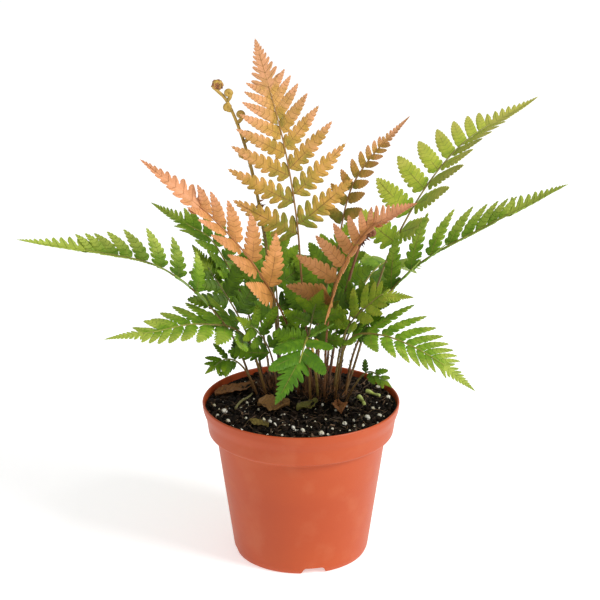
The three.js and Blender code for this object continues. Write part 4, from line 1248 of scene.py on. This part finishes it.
def pot_look():
    """Satin moulded plastic, with faint flow marks, a fine grain and a little dust"""
    look = Look("pot_plastic", Specular_IOR_Level=0.3)
    flow, grain = look.noise(9, stretch=(1, 1, 3)), look.noise(2600)
    dust = look.noise(45, 6)
    tint = look.ramp(flow, (0.0, 0xb04820), (1.0, 0xb85024))
    tint = look.mix(look.band(dust, 0.6, 1, 0, 0.12), tint, colour(0xd08860))
    look.bump(look.sum((grain, 0.5), (dust, 0.2), (flow, 0.4)), 0.04)
    shine = look.sum((flow, 0.05), (dust, 0.08), (grain, 0.04))
    return look.done(look.shade(tint, grain, 0.96, 1.03), look.math("ADD", shine, 0.34))


def floor_look():
    """Pale and faintly lit from within, so that it stays white under the lamps"""
    glow = dict(Emission_Color=(1, 1, 1, 1), Emission_Strength=0.5)
    look = Look("white_floor", Specular_IOR_Level=0.1, **glow)
    grain = look.noise(400)
    tint = look.ramp(grain, (0.0, 0xf4f4f4), (1.0, 0xf8f8f8))
    return look.done(tint, look.band(grain, 0, 1, 0.8, 0.9))


def litter_look():
    """Dead leaf with fine veins and dark spots"""
    look = Look("dead_leaf", Specular_IOR_Level=0.25)
    patches, grain = look.noise(220, 5), look.noise(1800)
    tint = look.ramp(look.mark("tone"), (0.0, 0x66622a), (0.4, 0x845832), (1.0, 0x9a643c))
    veins = look.veins(0.4, (look.mark("pinna"), 9.0), (look.mark("margin"), -2.2))
    tint = look.over(tint, veins, 0.3, 0x4a3018)
    tint = look.mix(look.band(patches, 0.75, 1.0, 0, 0.6), tint, colour(0x3a2414))
    look.bump(look.sum((veins, -0.8), (patches, 0.6), (grain, 0.3)), 0.25)
    return look.done(look.shade(tint, grain, 0.75, 1.2), look.band(patches, 0, 1, 0.5, 0.75))


LEAF_COLOURS = {
    "copper": (0x7c8428, 0xc09442, 0xd89c6e, 0x8c6430, 0xbc8c4c),
    "orange": (0xb4803c, 0xd49658, 0xdc9c70, 0x9a6034, 0xc88858),
    "lime": (0x8cb42a, 0xb0bc40, 0xbcba54, 0x749028, 0xa0b050),
    "green": (0x507e14, 0x7aa020, 0xa8b848, 0x40700e, 0x7e9c3c),
    "dark": (0x3a5a08, 0x5c7e0e, 0x82981a, 0x2c4806, 0x607c26),
}
STEM_COLOURS = {
    "copper": (0x643c20, 0x84602c, 0xa87c3c),
    "orange": (0x5a3a20, 0x94602e, 0xb87c48),
    "lime": (0x5e4024, 0x887838, 0x9ca04c),
    "green": (0x6a4020, 0x80702e, 0x9caa3e),
    "dark": (0x5c3820, 0x6c5228, 0x647832),
    "crozier": (0x4c3820, 0x7c6a2a, 0xbc9840),
    "bud": (0x3c261a, 0x6c482c, 0x86502e),
}
LEAVES = {name: leaf_look(name, *codes) for name, codes in LEAF_COLOURS.items()}
STEMS = {name: stem_look(name, *codes) for name, codes in STEM_COLOURS.items()}
SCALES = plain_look("papery_scales", 0x2c1a0e, 0x86582e, 400, 0.6, 0.1)
ROLLED = plain_look("rolled_leaflets", 0x5c2c14, 0xb87c48, 900, 0.5, 0.15)
ROLLED_BROWN = plain_look("withered_leaflets", 0x4a2818, 0x94552e, 900, 0.6, 0.15)
RHIZOME = plain_look("rhizome", 0x100a06, 0x302014, 300, 0.8, 0.5, Specular_IOR_Level=0.2)
# The peat's near-black low end is partly its own dark colour and partly painted shade: the root ball's
# top, with no tone of its own, takes mostly that end and shows black between the crumbs.
PEAT = plain_look("peat", 0x020101, 0x2a1c10, 500, 0.6, 0.6, Specular_IOR_Level=0.15)
CHIPS = plain_look("bark_chips", 0x1c120c, 0x7a5c3e, 600, 0.55, 0.3)
PERLITE = plain_look("perlite", 0xc8bc94, 0xf4f0e6, 500, 0.75, 0.5)
TWIG = plain_look("pale_twig", 0x6a6438, 0xa09a66, 400, 0.6, 0.2)
STUB = plain_look("green_stub", 0xa4b052, 0xdce0a4, 300, 0.5, 0.15)
DEAD_LEAF = litter_look()
POT_PLASTIC = pot_look()
FLOOR = floor_look()


# Stage: pale floor, white room light, a soft key light from the right and a weaker one from the left

def make_floor():
    skin = Skin()
    corners = np.array([(-1, -1, 0), (1, -1, 0), (1, 1, 0), (-1, 1, 0)]) * FLOOR_HALF / MM
    skin.add(corners, np.array([(0, 1, 2), (0, 2, 3)]))
    floor = placed("floor", skin.mesh("floor"))
    floor.data.materials.append(FLOOR)


def make_world():
    world = bpy.data.worlds.new("white_room")
    world.use_nodes = True
    bpy.context.scene.world = world
    background = world.node_tree.nodes["Background"]
    background.inputs["Color"].default_value = (1, 1, 1, 1)
    background.inputs["Strength"].default_value = ROOM_LIGHT


def make_lamp(name, place, size, power):
    lamp = bpy.data.lights.new(name, "AREA")
    lamp.shape = "DISK"
    lamp.size = size
    lamp.energy = power
    holder = placed(name, lamp)
    holder.location = place
    holder.rotation_euler = (Vector(LAMP_AIM) - Vector(place)).to_track_quat("-Z", "Y").to_euler()


def make_camera():
    camera = bpy.data.cameras.new("photo_view")
    camera.sensor_width = 36
    camera.lens = LENS
    camera.shift_x = CAMERA_SHIFT
    holder = placed("photo_view", camera)
    holder.location = CAMERA_PLACE
    holder.rotation_euler = (math.radians(90 - CAMERA_DOWN_DEG), 0, 0)
    bpy.context.scene.camera = holder


def make_each(make, items, seed):
    """Makes every item, each with random draws of its own"""
    for number, item in enumerate(items):
        make(item, np.random.default_rng(seed + number))


bpy.context.scene.view_settings.view_transform = "Standard"
make_camera()
make_floor()
make_world()
for lamp in LAMPS:
    make_lamp(*lamp)

make_pot()
make_soil(np.random.default_rng(SOIL_SEED))
make_each(make_crown, CROWNS, CROWN_SEED)
make_each(make_frond, FRONDS, FROND_SEED)
make_each(make_crozier, CROZIERS, CROZIER_SEED)
make_each(make_litter, LITTER, LITTER_SEED)
for stick in STICKS:
    make_stick(stick)
